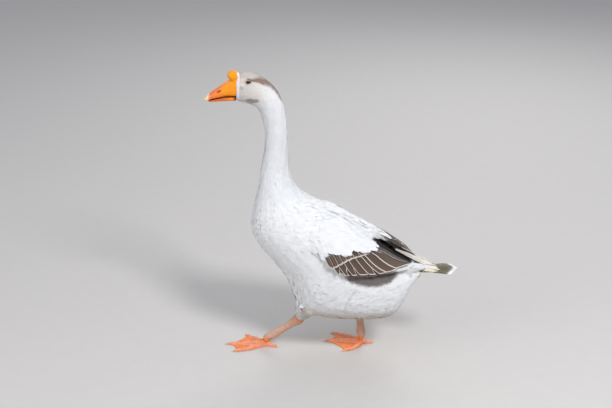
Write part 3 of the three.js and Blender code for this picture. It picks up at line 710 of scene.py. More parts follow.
def plumage_material(name, barb_depth, shade_low, shade_high, rim_colour, mottling, barring):
    """Vanes: barbs slanting off a shaft, pale rims where asked for, soft mottling, and painted shade
    towards each root.
    """
    material, tree, shader = nodes_of(name)
    along, across, barb, rim, draw = (
        attribute(tree, key) for key in ("along", "across", "barb", "rim", "draw"))
    wave = (barb * 5.2 + noise(tree, 420.0, 2.0) * 5.0).maths("SINE")
    aside = across.maths("ABSOLUTE")
    shaft = aside.span(0.09, 0.02)
    mottle, fine_mottle = noise(tree, 55.0, 5.0, 0.6), noise(tree, 600.0, 3.0, 0.6)
    # painted shade: darker towards the root, where the vanes over it cover it, and lighter towards the
    # tip
    value = (along.span(0.0, 0.75, shade_low, shade_high) + (draw - 0.5) * 0.06
             + (mottle - 0.5) * mottling + wave * barring + (fine_mottle - 0.5) * 0.10)
    pale = aside.span(0.84, 0.93).maths("MAXIMUM", along.span(0.95, 0.985))
    pale = pale.maths("MAXIMUM", shaft * 0.35) * rim
    colour = mixed(tree, pale, tinted(tree, value), (*rim_colour, 1))
    finish_shader(tree, shader, colour, wave * 0.35 + shaft * 1.4 + fine_mottle * 0.8, barb_depth,
                  mottle.span(0.2, 0.8, 0.66, 0.82), Sheen_Weight=0.12, Sheen_Roughness=0.5,
                  Specular_IOR_Level=0.28)
    return material


def skin_material():
    """Down close to the skin, in the colours of the coat over it."""
    material, tree, shader = nodes_of("down_and_skin")
    soft, fine_soft = noise(tree, 140.0, 5.0, 0.65), noise(tree, 900.0, 3.0, 0.6)
    value = soft.span(0.25, 0.8, 0.74, 0.98) + (fine_soft - 0.5) * 0.2
    finish_shader(tree, shader, tinted(tree, value), soft + fine_soft * 0.5, 0.0008,
                  soft.span(0.2, 0.8, 0.72, 0.88), Sheen_Weight=0.1, Specular_IOR_Level=0.25)
    return material


def hide_material(name, mottle_scale, grain_scale, depth_of_grain, rough_low, rough_high, contrast,
                  gloss, coat=0.0):
    """Bare skin and horn: colour by the surface's own tint, clouded and finely pitted."""
    material, tree, shader = nodes_of(name)
    cloud, grain = noise(tree, mottle_scale, 5.0, 0.6), noise(tree, grain_scale, 4.0, 0.65)
    cells = pattern(tree, "ShaderNodeTexVoronoi", grain_scale * 0.8, feature="DISTANCE_TO_EDGE")
    crease = cells.span(0.0, 0.12)
    value = cloud.span(0.25, 0.75, 1 - contrast, 1 + contrast * 0.6) + (grain - 0.5) * contrast
    value = value * crease.span(0.0, 1.0, 0.9, 1.0)
    finish_shader(tree, shader, tinted(tree, value), crease * 0.6 + grain, depth_of_grain,
                  cloud.span(0.25, 0.75, rough_low, rough_high), Specular_IOR_Level=gloss,
                  Coat_Weight=coat, Coat_Roughness=0.25)
    return material


white_plumage = plumage_material("white_plumage", 0.00014, 0.95, 1.0, (0.9, 0.9, 0.9), 0.12, 0.018)
fawn_plumage = plumage_material("fawn_plumage", 0.00012, 0.92, 1.0, (0.8, 0.75, 0.7), 0.16, 0.02)
brown_plumage = plumage_material("brown_plumage", 0.0003, 0.80, 1.12, (0.66, 0.60, 0.53), 0.6, 0.09)
down = skin_material()
bill_horn = hide_material("bill_horn", 70.0, 900.0, 0.00018, 0.40, 0.56, 0.10, 0.28, 0.04)
nail_horn = hide_material("nail_horn", 160.0, 1200.0, 0.0001, 0.32, 0.48, 0.12, 0.45, 0.1)
leg_skin = hide_material("leg_skin", 120.0, 520.0, 0.0003, 0.45, 0.65, 0.16, 0.4)
web_skin = hide_material("web_skin", 90.0, 420.0, 0.0003, 0.42, 0.62, 0.16, 0.42)
claw_horn = hide_material("claw_horn", 200.0, 1000.0, 0.0001, 0.35, 0.5, 0.14, 0.45)

# ---------------- the skin's own piece
skin_colour = markings(skin_points, skin_region)
skin_uv = unwrap(skin_s, skin_angle)
corner_uv = skin_uv[skin_faces]
wraps = (corner_uv[:, :, 1].max(1) - corner_uv[:, :, 1].min(1)) > 0.5
low_corner = wraps[:, None] & (corner_uv[:, :, 1] < 0.5)
corner_uv[:, :, 1][low_corner] = 0.985
new_piece("skin", new_mesh("skin", skin_points, skin_faces, {"tint": skin_colour},
                           corner_uv.reshape(-1, 2)), down, "plumage_white", *FLESH)


# ---------------- vanes
def sheet_template(rows, columns):
    """Faces of one thin closed vane: a grid on top and one below that share their rim."""
    index = np.arange(rows * columns).reshape(rows, columns)
    under = index.copy()
    inner = index[1:-1, 1:-1]
    under[1:-1, 1:-1] = rows * columns + np.arange(inner.size).reshape(inner.shape)
    quads = []
    for r in range(rows - 1):
        for c in range(columns - 1):
            quads.append([index[r, c], index[r + 1, c], index[r + 1, c + 1], index[r, c + 1]])
            quads.append([under[r, c], under[r, c + 1], under[r + 1, c + 1], under[r + 1, c]])
    return np.array(quads), inner.ravel()


def vane_mesh(name, grid, below, data, uv=None, lie_normals=None, lie_share=0.0):
    """Many vanes at once. grid is vanes x rows x columns x 3; below moves the underside's inner points.

    lie_normals are the coat's own normals at the grid; the upper sides are shaded partly with them."""
    count, rows, columns, _ = grid.shape
    quads, inner = sheet_template(rows, columns)
    flat = grid.reshape(count, rows * columns, 3)
    under = (grid + below).reshape(count, rows * columns, 3)[:, inner]
    points = np.concatenate([flat, under], 1)
    faces = (quads[None] + (np.arange(count) * points.shape[1])[:, None, None]).reshape(-1, 4)
    attributes = {}
    for key, value in data.items():
        shape = value.shape[3:]
        value = value.reshape(count, rows * columns, *shape)
        value = np.concatenate([value, value[:, inner]], 1)
        attributes[key] = value.reshape(-1, *shape)
    if uv is not None:
        uv = uv.reshape(count, rows * columns, 2)
        uv = np.concatenate([uv, uv[:, inner]], 1).reshape(-1, 2)
    on_rim = np.ones(points.shape[1], bool)
    on_rim[inner] = False
    on_rim[rows * columns:] = False
    mesh = new_mesh(name, points.reshape(-1, 3), faces, attributes, uv, np.tile(on_rim, count))
    if lie_normals is not None:
        own = pulled(mesh.corner_normals, "vector").reshape(count, len(quads), 4, 3)
        soft = lie_normals.reshape(count, rows * columns, 3)[:, quads[0::2]]
        agree = (own[:, 0::2] * soft).sum(-1, keepdims=True)
        share = lie_share * ramp(0.2, 0.7, agree)
        own[:, 0::2] = unit(own[:, 0::2] * (1 - share) + soft * share)
        free = mesh.attributes.new("custom_normal", "FLOAT_VECTOR", "CORNER")
        free.data.foreach_set("vector", np.ascontiguousarray(own, np.float32).ravel())
        mesh.update()
    return mesh


def nearest_skin(points):
    place, normal = np.empty((len(points), 3)), np.empty((len(points), 3))
    for k, p in enumerate(points):
        hit = skin_tree.find_nearest(Vector(p))
        place[k] = hit[0]
        normal[k] = face_normals[hit[2]]
    return place, normal


BODY_ROWS = np.array([0, 0.22, 0.46, 0.7, 0.9, 1.0])
BODY_SHAPE = np.array([0.42, 0.84, 1.0, 0.97, 0.70, 0.22])
SMALL_ROWS = np.array([0, 0.4, 0.8, 1.0])
SMALL_SHAPE = np.array([0.5, 1.0, 0.78, 0.2])
ACROSS = np.array([-1.0, 0, 1.0])
PATCH_SIZE = 0.003
STEP_LIMIT = (0.4, 1.35)         # how far a vane's pieces may be pressed together or drawn out
TURN_LIMIT = 0.68                # how sharply a vane may bend from one row to the next
EDGE_LIMIT = 0.3                 # how sharply the skin may turn away under a vane's edges
GAP_LIMIT = 0.36                 # how far a vane's edges may stand off the skin, in widths
SINK = 0.7                       # how far a root lies under the skin
LIE_SHARE = 0.88                 # how far the vanes take on the smooth shading of the whole coat


def grow_coat(name, roots, normals, heading, length, width, lift, bend, small, material, slot_name,
              curl=0.0, thick=0.32):
    """Vanes that follow the skin from each root along its heading, each over the roots behind it."""
    rows = SMALL_ROWS if small else BODY_ROWS
    shape = SMALL_SHAPE if small else BODY_SHAPE
    count = len(roots)
    centre = np.empty((count, len(rows), 3))
    normal = np.empty_like(centre)
    way = np.empty_like(centre)
    here, up = roots.copy(), normals.copy()
    ahead = unit(heading - (heading * up).sum(1, keepdims=True) * up)
    for r, fraction in enumerate(rows):
        if r:
            here = here + ahead * (length * (fraction - rows[r - 1]))[:, None]
            here, up = nearest_skin(here)
            ahead = unit(ahead + np.cross(up, ahead) * (bend * (fraction - rows[r - 1]))[:, None])
            ahead = unit(ahead - (ahead * up).sum(1, keepdims=True) * up)
        centre[:, r], normal[:, r], way[:, r] = here, up, ahead
    # A vane that would leap over a crease or double back is left out.
    step = np.linalg.norm(np.diff(centre, axis=1), axis=2) / (length[:, None] * np.diff(rows))
    turn = (normal[:, 1:] * normal[:, :-1]).sum(-1).min(1)
    aside = (np.cross(normal, way) * (width / 2)[:, None, None])[:, 1:-1, None]
    edge = centre[:, 1:-1, None] + aside * np.array([[-1.0], [1.0]])
    edge_place, edge_normal = nearest_skin(edge.reshape(-1, 3))
    edge_turn = (edge_normal.reshape(edge.shape) * normal[:, 1:-1, None]).sum(-1).min((1, 2))
    edge_gap = np.linalg.norm(edge_place.reshape(edge.shape) - edge, axis=-1).max((1, 2)) / width
    sound = ((step.max(1) < STEP_LIMIT[1]) & (step.min(1) > STEP_LIMIT[0]) & (turn > TURN_LIMIT)
             & (edge_turn > EDGE_LIMIT) & (edge_gap < GAP_LIMIT))
    roots, length, width, lift, bend = (a[sound] for a in (roots, length, width, lift, bend))
    centre, normal, way, count = centre[sound], normal[sound], way[sound], int(sound.sum())
    raise_by = (-SINK + (lift[:, None] + SINK) * (1 - (1 - rows[None]) ** 1.7)
                + curl * rows[None] ** 4)
    centre += normal * raise_by[..., None]
    sidle = np.cross(normal, way)
    half = width[:, None] / 2 * shape[None]
    droop = 0.025 * half ** 2 / np.maximum(half.max(1, keepdims=True), 0.1)
    grid = (centre[:, :, None] + sidle[:, :, None] * (half[..., None, None] * ACROSS[:, None])
            - normal[:, :, None] * (droop[..., None, None] * np.abs(ACROSS)[:, None]))
    below = -normal[:, :, None] * thick * np.ones((1, 1, 3, 1))
    along = np.broadcast_to(rows[None, :, None], grid.shape[:3])
    across = np.broadcast_to(ACROSS[None, None], grid.shape[:3])
    s, angle, _ = lie(roots)
    tint = markings(grid.reshape(-1, 3), np.repeat(region_at(roots), len(rows) * 3)).reshape(grid.shape)
    draw = np.broadcast_to(rng.random(count)[:, None, None], grid.shape[:3])
    data = {"tint": tint, "along": along, "across": across,
            "barb": along * length[:, None, None] - np.abs(across) * width[:, None, None] * 0.5,
            "rim": np.zeros(grid.shape[:3]), "draw": draw}
    root_uv = unwrap(s, angle)
    uv = (root_uv[:, None, None] + PATCH_SIZE * np.stack(
        [along - 0.5, across * 0.5 * 0.5], -1))
    lie_normals = nearest_skin(grid.reshape(-1, 3))[1].reshape(grid.shape)
    mesh = vane_mesh(name, grid, below, data, np.clip(uv, 0.001, 0.999), lie_normals, LIE_SHARE)
    return new_piece(name, mesh, material, slot_name)


# Spacing, length, width and lift of the coat's vanes by distance along the body.
KEY_POINTS = np.array([[-226, 0, 692], [-205, 0, 694], [-170, 0, 684], [-145, 0, 650], [-138, 0, 600],
                       [-137, 0, 526], [-139, 0, 448], [-122, 0, 385], [-86, 0, 333], [-27, 0, 273],
                       [30, 0, 215], [98, 0, 188], [171, 0, 182], [227, 0, 227]], float)
KEY_S = lie(KEY_POINTS)[0]
COAT_TABLE = np.array([  # spacing, length, width, lift
    [1.55, 3.8, 2.3, 0.8], [1.9, 5.2, 3.0, 0.95], [2.3, 7, 3.7, 1.1], [2.9, 11, 4.8, 1.6],
    [3.2, 13, 5.4, 1.9], [3.6, 15.5, 6.4, 2.2], [4.5, 19, 8.8, 2.5], [6.0, 25, 12.5, 2.8],
    [7.0, 30, 16, 3.1], [7.3, 32, 17, 3.2], [7.2, 33, 16.5, 3.4], [6.8, 34, 15.5, 3.6],
    [6.4, 35, 14.5, 3.8], [5.6, 32, 13.0, 3.4]])


def coat_table(points, regions, s):
    values = np.stack([np.interp(s, KEY_S, COAT_TABLE[:, k]) for k in range(4)], 1)
    head = is_region(regions, "head") & (points[:, 0] < -150)
    on_wing = is_region(regions, *WING)
    u, t = wing_place(points)
    wing_size = np.interp(u, [0, 1.5, 4, 7, 10], [0.62, 0.78, 1.0, 1.12, 1.0])
    wing_values = wing_size[:, None] * np.array([7.6, 36, 20, 2.9])
    values[on_wing] = wing_values[on_wing]
    thigh = is_region(regions, *THIGH)
    values[thigh] = (4.2, 20, 8.0, 2.8)
    values[head, 3] = np.minimum(values[head, 3], 1.3)
    return values, u, t


WING_SLANT = 0.34                # how far the coverts slant downwards at the wing's lower edge


def headings(regions, along, u, t):
    """The way the vanes point: down the body, back along the wings and down the thighs."""
    heading = along.copy()
    for which, names in ((-1, ("wing_left", "flight_feathers_left")),
                         (1, ("wing_right", "flight_feathers_right"))):
        on = is_region(regions, *names)
        _, rear, up, _ = wing_frame(u[on], t[on], which)
        heading[on] = unit(rear - up * (WING_SLANT * np.clip(1 - t[on], 0, 1))[:, None])
    for which, name in ((-1, "thigh_left"), (1, "thigh_right")):
        on = is_region(regions, name)
        start, end = (np.array(p, float) for p in THIGHS[which])
        heading[on] = unit(end - start)
    return heading


# Candidates over the skin, thinned so that no two roots are closer than their spacing.
corner_a, corner_b, corner_c, corner_d = skin_points[skin_faces].swapaxes(0, 1)
face_area = 0.5 * np.linalg.norm(np.cross(corner_c - corner_a, corner_d - corner_b), axis=1)
face_centre = skin_points[skin_faces].mean(1)
face_region = region_at(face_centre)
face_s = skin_s[skin_faces].mean(1)
face_values, _, _ = coat_table(face_centre, face_region, face_s)
weight = face_area / face_values[:, 0] ** 2
CANDIDATES = 120000
chosen = rng.choice(len(weight), CANDIDATES, p=weight / weight.sum())
f, g = rng.random((2, CANDIDATES, 1))
cand = (corner_a[chosen] * (1 - f) * (1 - g) + corner_b[chosen] * f * (1 - g)
        + corner_c[chosen] * f * g + corner_d[chosen] * (1 - f) * g)
cand_region = face_region[chosen]
cand_s = skin_s[skin_faces[chosen]].mean(1)
cand_values, cand_u, cand_t = coat_table(cand, cand_region, cand_s)
cand_normals = face_normals[chosen]
cand_along = face_along[chosen]

# Where nothing grows: the eyes, the bill's base, the brown feathers' field, the gap between the wings,
# the wings' inner sides behind it and the root of the tail.
cand_x, cand_y, cand_z = cand.T
bare = (side_reach(cand, EYE_MIDDLE, EYE_BARE) < 1) & (np.abs(cand_y) > EYE_WALL)
bare |= (cand_x < np.interp(cand_z, RIM_Z, RIM_X) + 0.6) & (cand_z > 640)
on_wing = is_region(cand_region, *WING)
tip_u = cand_u + cand_values[:, 1] / 34
tip_t = cand_t - 0.14 * (1 - cand_t)
bare |= on_wing & ((in_brown(tip_u, tip_t, cand) > 0.05) | (in_brown(cand_u, cand_t, cand) > -0.02))
in_cleft = (cand_y > on_line(cand_x, CLEFT_LEFT) - 1) & (cand_y < 8)
in_cleft &= cand_z < on_line(cand_x, CLEFT_WALL) + 2
bare |= in_cleft & (cand_x > 96) & (cand_x < 226) & (cand_z > GAP_FOOT)
bare |= (is_region(cand_region, "trunk", "rump") & (cand_x > 104) & (cand_x < 206)
         & (cand_z > 248) & (np.abs(cand_y) < 32))
bare |= on_wing & (cand_y > 0) & (cand_x > 134) & (cand_t > 0.8)
bare |= on_wing & (cand_x > 186) & (cand_t > 0.7)
bare |= cand_x > 236
keep = np.where(~bare)[0]
kd = near_tree(cand[keep])
free = np.ones(len(keep), bool)
accepted = []
for k, index in enumerate(keep):
    if free[k]:
        accepted.append(index)
        for _, other, _ in kd.find_range(cand[index], cand_values[index, 0]):
            free[other] = False
roots, root_normals, root_region, root_s, root_values = (
    a[accepted] for a in (cand, cand_normals, cand_region, cand_s, cand_values))
root_heading = headings(root_region, cand_along[accepted], cand_u[accepted], cand_t[accepted])

fluff = ramp(230, 120, roots[:, 2]) * ramp(-40, 60, roots[:, 0])
fluff = np.maximum(fluff, 0.6 * is_region(root_region, *THIGH))
turn = rng.normal(0, 1, len(roots)) * (0.08 + 0.22 * fluff)
root_side = np.cross(root_normals, root_heading)
root_heading = unit(root_heading + root_side * turn[:, None])
size = rng.uniform(0.86, 1.16, len(roots))
root_length = root_values[:, 1] * size
root_width = root_values[:, 2] * rng.uniform(0.85, 1.1, len(roots))
root_lift = root_values[:, 3] * rng.uniform(0.985, 1.015, len(roots))
# Neck plumes lie in slanting ridges with furrows between them.
neck_amount = ramp(660, 630, roots[:, 2]) * ramp(395, 450, roots[:, 2])
root_angle = lie(roots)[1]
furrow = 0.5 + 0.5 * np.cos(9 * np.abs(root_angle) - root_s * 0.055)
root_lift *= 1 - 0.55 * neck_amount * furrow

head_roots = is_region(root_region, "head")
neck_roots = is_region(root_region, "neck_upper", "neck_middle", "neck_lower")
wing_left_roots = is_region(root_region, "wing_left", "flight_feathers_left")
wing_right_roots = is_region(root_region, "wing_right", "flight_feathers_right")
thigh_roots = is_region(root_region, *THIGH)
rest_roots = ~(head_roots | neck_roots | wing_left_roots | wing_right_roots | thigh_roots)
breast_roots = rest_roots & (roots[:, 0] < -20) & (roots[:, 2] > 250)
vent_roots = rest_roots & (roots[:, 0] > 100)
belly_roots = rest_roots & ~breast_roots & ~vent_roots
GROUPS = (  # name, which roots, curl of the tips, thickness
    ("coat_head", head_roots, 0.0, 0.2),
    ("coat_neck", neck_roots, 0.0, 0.26),
    ("coat_breast", breast_roots, 0.0, 0.32),
    ("coat_belly", belly_roots, 0.5, 0.34),
    ("coat_vent", vent_roots, 0.8, 0.34),
    ("coat_thighs", thigh_roots, 0.4, 0.3),
    ("coverts_left", wing_left_roots, 0.0, 0.34),
    ("coverts_right", wing_right_roots, 0.0, 0.34),
)
for name, which, curl, thick in GROUPS:
    small = name == "coat_head"
    material, slot_name = (fawn_plumage, "plumage_fawn") if small else (white_plumage, "plumage_white")
    measures = (roots, root_normals, root_heading, root_length, root_width, root_lift)
    grow_coat(name, *(a[which] for a in measures), rng.normal(0, 0.12, which.sum()), small,
              material, slot_name, curl, thick)

# ---------------- flight feathers
LONG_ROWS = np.array([0, 0.1, 0.2, 0.3, 0.4, 0.5, 0.6, 0.7, 0.79, 0.87, 0.93, 0.965, 0.988, 1.0])
LONG_ACROSS = np.array([-1.0, -0.5, 0, 0.5, 1.0])
VANE_SHAPE = (len(LONG_ROWS), len(LONG_ACROSS))
# The wing's long feathers, from the back down: station and height of the lower edge at root, middle
# and tip, the vane's width, and how far its lower edge stands out.
TOP_FEATHER = {-1: ((5.2, 0.97), (7.3, 0.745), (9.5, 0.86), 46, 3.0),
               1: ((6.7, 0.90), (8.2, 0.80), (9.9, 0.88), 46, 3.0)}
LONG_FEATHERS = [
    ((4.7, 0.76), (6.65, 0.42), (8.2, 0.20), 50, 2.7),
    ((4.15, 0.70), (5.75, 0.31), (7.2, 0.06), 42, 2.4),
    ((3.95, 0.60), (5.4, 0.28), (6.35, 0.045), 34, 2.1),
    ((3.55, 0.52), (4.8, 0.25), (5.65, 0.03), 31, 1.9),
    ((3.15, 0.44), (4.25, 0.20), (5.0, 0.02), 29, 1.7),
    ((2.8, 0.38), (3.8, 0.16), (4.45, 0.01), 27, 1.5),
    ((2.5, 0.30), (3.35, 0.10), (3.95, 0.0), 24, 1.3),
    ((2.2, 0.22), (3.0, 0.04), (3.45, -0.03), 20, 1.1),
]
WING_TIPS = [((6.4, 0.66), (8.4, 0.56), (10.3, 0.86), 26, 0.9),
             ((6.2, 0.40), (7.9, 0.36), (9.6, 0.60), 24, 0.5)]
# Where the brown coverts' pale tips lie, how wide the coverts are and how far they stand out.
COVERT_WIDTH, COVERT_HIGH = 22, 3.7
COVERT_TIPS = np.array([[2.95, 0.02], [3.2, 0.075], [3.5, 0.14], [3.8, 0.20], [4.1, 0.255], [4.42, 0.31],
                        [4.76, 0.365], [5.1, 0.43], [5.45, 0.505], [5.8, 0.59], [6.15, 0.68]])
# White feathers of the flank lie over the wing's lower rear edge.
FLANK_COVER = {-1: np.linspace(7.5, 9.6, 9), 1: np.linspace(7.5, 8.9, 7)}
COVER_RUN = np.array([25.0, 0, 15.0])
COVER_ROWS, COVER_LENGTH = 3, 31.0
# The pale inner edge of the right wing's top feather and the line over it: start and end, width,
# arch, and share of pale rim.
INNER_EDGES = ((((164, 4.0, 278), (277, 2.0, 226)), 11, 1.5, 0.0),
               (((158, 8.0, 291), (262, 8.0, 243)), 1.6, 1.0, 1.0))


def curve3(points, f):
    """A smooth curve through three points at 0, half and 1."""
    a, b, c = (np.array(p, float) for p in points)
    f = np.asarray(f)[:, None]
    return a * (1 - f) * (1 - 2 * f) + b * 4 * f * (1 - f) + c * f * (2 * f - 1)


def wing_vane(points, width, high, side, limit, drop=2.4, root_height=-2.4):
    """One long vane on the wing: its lower edge runs along the given line, its upper edge lies deeper.

    Every line along the vane ends where it meets the limit line, given as stations and heights."""
    f = np.linspace(0, 1.5, 76)
    path = curve3(points, f)
    row = wing_row(path[:, 0], side)
    arc = np.pi / 2 * np.sqrt(((row[:, 1] - row[:, 4]) ** 2 + (row[:, 5] - row[:, 2]) ** 2) / 2)
    upper = np.minimum(path[:, 1] + width / arc, np.maximum(path[:, 1] + 0.08, 1.02))
    middle, half = (path[:, 1] + upper) / 2, (upper - path[:, 1]) / 2
    spread = middle[:, None] + (half * (0.7 + 0.3 * ramp(0, 0.2, f)))[:, None] * LONG_ACROSS
    past = (spread < on_line(path[:, 0], limit)[:, None]) & (f[:, None] > 0.5)
    ends = np.where(past.any(0), f[past.argmax(0)], 1.0)
    ends = np.minimum(ends - 0.02 * LONG_ACROSS ** 4, 1.45)
    rows = LONG_ROWS[:, None] * ends
    t = np.stack([np.interp(rows[:, c], f, spread[:, c]) for c in range(len(LONG_ACROSS))], 1)
    u = np.interp(rows, f, path[:, 0])
    point, _, _, normal = wing_frame(u, t, side)
    height = high - drop * (LONG_ACROSS + 1)[None] / 2 + 0.5 * (1 - LONG_ACROSS ** 2)[None]
    field = BROWN_FIELD[side]
    risen = ramp(-0.03, 0.09, on_line(u, field, 2) - t)
    height = root_height + (height - root_height) * risen * ramp(0, 0.2, LONG_ROWS)[:, None]
    grid = point + normal * height[..., None]
    if side > 0:
        grid, normal = grid[:, ::-1], normal[:, ::-1]
    return grid, normal


def plain_tint(colour):
    return np.tile(np.array(colour, float), (*VANE_SHAPE, 1))


def straight_vane(root, tip, width, up, arch=0.0, tip_length=0.16, across_lift=0.6):
    """A long vane through the air from root to tip, arched along its length."""
    root, tip, up = (np.array(p, float) for p in (root, tip, up))
    ahead = unit(tip - root)
    sidle = np.cross(up, ahead)
    sidle = sidle / np.linalg.norm(sidle)
    normal = np.cross(ahead, sidle)
    close = np.clip((LONG_ROWS - (1 - tip_length)) / tip_length, 0, 1)
    half = width / 2 * np.sqrt(1 - 0.98 * close ** 2.2) * (0.45 + 0.55 * ramp(0, 0.4, LONG_ROWS))
    rise = arch * np.sin(np.pi * LONG_ROWS)
    centre = root + (tip - root) * LONG_ROWS[:, None] + normal * rise[:, None]
    grid = (centre[:, None] + sidle * (half[:, None] * LONG_ACROSS)[..., None]
            + normal * (across_lift * (1 - np.abs(LONG_ACROSS)))[None, :, None])
    return grid, np.broadcast_to(normal, grid.shape)


class Vanes:
    """A growing list of long vanes with their colours, pale rims and widths."""

    def __init__(self):
        self.rows = []

    def add(self, vane, tint, rim, width):
        grid, normal = vane
        rim = np.broadcast_to(np.asarray(rim, float), VANE_SHAPE)
        self.rows.append((grid, normal, tint, rim, width, np.linalg.norm(grid[-1, 2] - grid[0, 2])))

    def build(self, name, material, slot_name, *nodes, thick=0.5):
        grid, normal, tint, rim, width, length = (np.stack(part) for part in zip(*self.rows))
        width, length = width[:, None, None], length[:, None, None]
        along = np.broadcast_to(LONG_ROWS[None, :, None], rim.shape)
        across = np.broadcast_to(LONG_ACROSS[None, None], rim.shape)
        draw = np.broadcast_to(rng.random(len(rim))[:, None, None], rim.shape)
        data = {"tint": tint, "along": along, "across": across, "rim": rim, "draw": draw,
                "barb": along * length - np.abs(across) * width * 0.5}
        s, angle, _ = lie(grid[:, 0, 2])
        patch = PATCH_SIZE * 2 * np.stack([along - 0.5, across * 0.25], -1)
        uv = unwrap(s, angle)[:, None, None] + patch
        return new_piece(name, vane_mesh(name, grid, -normal * thick, data, np.clip(uv, 0.001, 0.999)),
                         material, slot_name, *nodes)


toward_tip = ramp(0.2, 1.0, LONG_ROWS)[:, None]
for side, word in SIDES:
    across = LONG_ACROSS if side < 0 else LONG_ACROSS[::-1]
    lower = ramp(0.1, -0.6, across)[None]
    wing = Vanes()
    for start, middle, tip, width, high in WING_TIPS + LONG_FEATHERS[::-1] + [TOP_FEATHER[side]]:
        deep = high < 1
        vane = wing_vane((start, middle, tip), width, high, side, BROWN_FIELD[side][:, :2])
        tint = plain_tint(BROWN_DARK if deep else BROWN)
        tint *= (1 + 0.3 * toward_tip + 0.25 * ramp(0.2, -0.8, across)[None])[..., None]
        # painted shade: the far wing's rearmost long feathers are darkened
        if side > 0 and tip[0] > 9:
            tint *= 0.6
        if not deep:
            tint = blend(tint, CREAM, 0.85 * (LONG_ROWS > 0.96)[:, None])
        rim = np.maximum(lower, LONG_ROWS[:, None] > 0.95)
        wing.add(vane, tint, (0.2 if deep else 1.0) * rim, width)
    for u, t in COVERT_TIPS:
        path = ((u - 1.15, t + 0.17), (u - 0.58, t + 0.06), (u, t - 0.055))
        vane = wing_vane(path, COVERT_WIDTH, COVERT_HIGH, side, COVERT_TIPS, drop=1.2, root_height=-2.6)
        tint = plain_tint(BROWN) * (0.95 + 0.25 * toward_tip[..., None])
        tint = blend(tint, CREAM, 0.6 * (LONG_ROWS > 0.94)[:, None])
        wing.add(vane, tint, 0.8, COVERT_WIDTH)
    for line, width, arch, rim in INNER_EDGES if side > 0 else ():
        wing.add(straight_vane(*line, width, (0, -0.8, 0.6), arch), plain_tint(CREAM), rim, width)
    wing.build(f"flight_vanes_{word}", brown_plumage, "plumage_brown", f"flight_feathers_{word}")
cover_roots, cover_heads, cover_lifts = [], [], []
for side in (-1, 1):
    field = BROWN_FIELD[side]
    for row in range(COVER_ROWS):
        for u in FLANK_COVER[side] + rng.uniform(-0.08, 0.08, len(FLANK_COVER[side])):
            end = wing_point(u, on_line(u, field) - 0.02, side) - COVER_RUN * row * 0.3
            cover_roots.append(end - COVER_RUN + rng.normal(0, 1.5, 3))
            cover_heads.append(COVER_RUN)
            cover_lifts.append(4.6 - 0.4 * row)
cover_roots, cover_normals = nearest_skin(np.array(cover_roots))
count = len(cover_roots)
grow_coat("flank_cover", cover_roots, cover_normals, unit(np.array(cover_heads)),
          np.full(count, COVER_LENGTH), rng.uniform(15, 19, count), np.array(cover_lifts),
          rng.normal(0, 0.1, count), False, white_plumage, "plumage_white", thick=0.3)

# ---------------- tail
tail = Vanes()
half_count = (TAIL_FEATHERS - 1) / 2
for k in sorted(range(TAIL_FEATHERS), key=lambda n: -abs(n - half_count)):
    place = (k - half_count) / half_count
    reach = TAIL_LENGTH * (1 - 0.10 * abs(place))
    spread = 0.1 * place
    root = TAIL_ROOT + np.array([0, 12 * place, -2.2 * abs(place) * half_count * 0.5])
    tip = root + np.array([reach * math.cos(spread), reach * math.sin(spread) * 1.2, -1.0])
    tint = plain_tint(OLIVE)
    tint = blend(tint, BUFF, ramp(0.62, 0.45, LONG_ROWS)[:, None])
    tint = blend(tint, WHITE, ramp(0.86, 0.93, LONG_ROWS)[:, None])
    tail.add(straight_vane(root, tip, TAIL_WIDTH, (0, 0.15 * place, 1), 1.5), tint, 0.35, TAIL_WIDTH)
tail.build("tail_vanes", brown_plumage, "plumage_brown", "tail", thick=0.7)
# White coverts over and under the root of the tail, and loose wisps.
coverts = Vanes()
for k in range(TAIL_COVERTS):
    y = rng.uniform(-20, 20)
    over = k % 2 == 0
    start = np.array([rng.uniform(196, 222), y, 240 - 0.2 * abs(y) if over else 226 + 0.1 * abs(y)])
    length = rng.uniform(42, 62)
    end = start + np.array([length, y * 0.3, rng.uniform(-6, -2) if over else rng.uniform(2, 8)])
    up, arch = (0, 0.3 * np.sign(y), 1), 2.0 if over else -1.5
    vane = straight_vane(start, end, rng.uniform(5, 9), up, arch, 0.6)
    stain = rng.uniform(0.1, 0.6) * ramp(0.2, 0.8, LONG_ROWS)[:, None]
    coverts.add(vane, blend(plain_tint(WHITE), BUFF, stain), 0.0, 12)
coverts.build("tail_coverts", white_plumage, "plumage_white")


# ---------------- bill, knob and nail
def horn_piece(name, nodes, voxel, passes, material, slot_name, paint, shape=None, grow=0.15):
    points, faces = remeshed(*joined_solid(nodes, grow)[:2], voxel)
    smoother = Smoother(len(points), faces)
    points = smoother.relax(points, passes)
    points = points - point_normals(points, faces) * grow
    if shape:
        points = shape(points, point_normals(points, faces), smoother)
    return new_piece(name, new_mesh(name, points, faces, {"tint": np.clip(paint(points), 0, 1)}),
                     material, slot_name, *nodes)


def nostril_reach(points):
    ahead, rise = 0.86, 0.51
    x, z = points[:, 0] - NOSTRIL[0], points[:, 2] - NOSTRIL[2]
    return np.hypot((x * ahead + z * rise) / 7.4, (-x * rise + z * ahead) / 2.4)


RIDGE_X, RIDGE_Z = [-301, -289, -274, -258, -244], [674.2, 684, 694.3, 706, 713.5]


def mouth_drop(x):
    """How far the cutting edge sags below the solids' straight one."""
    return 1.9 * np.exp(-((x + 262) / 22) ** 2)


UPPER_EDGE = ([-301, -274, -233], [661.5, 670.3, 674.5])    # the cutting edge: x and z


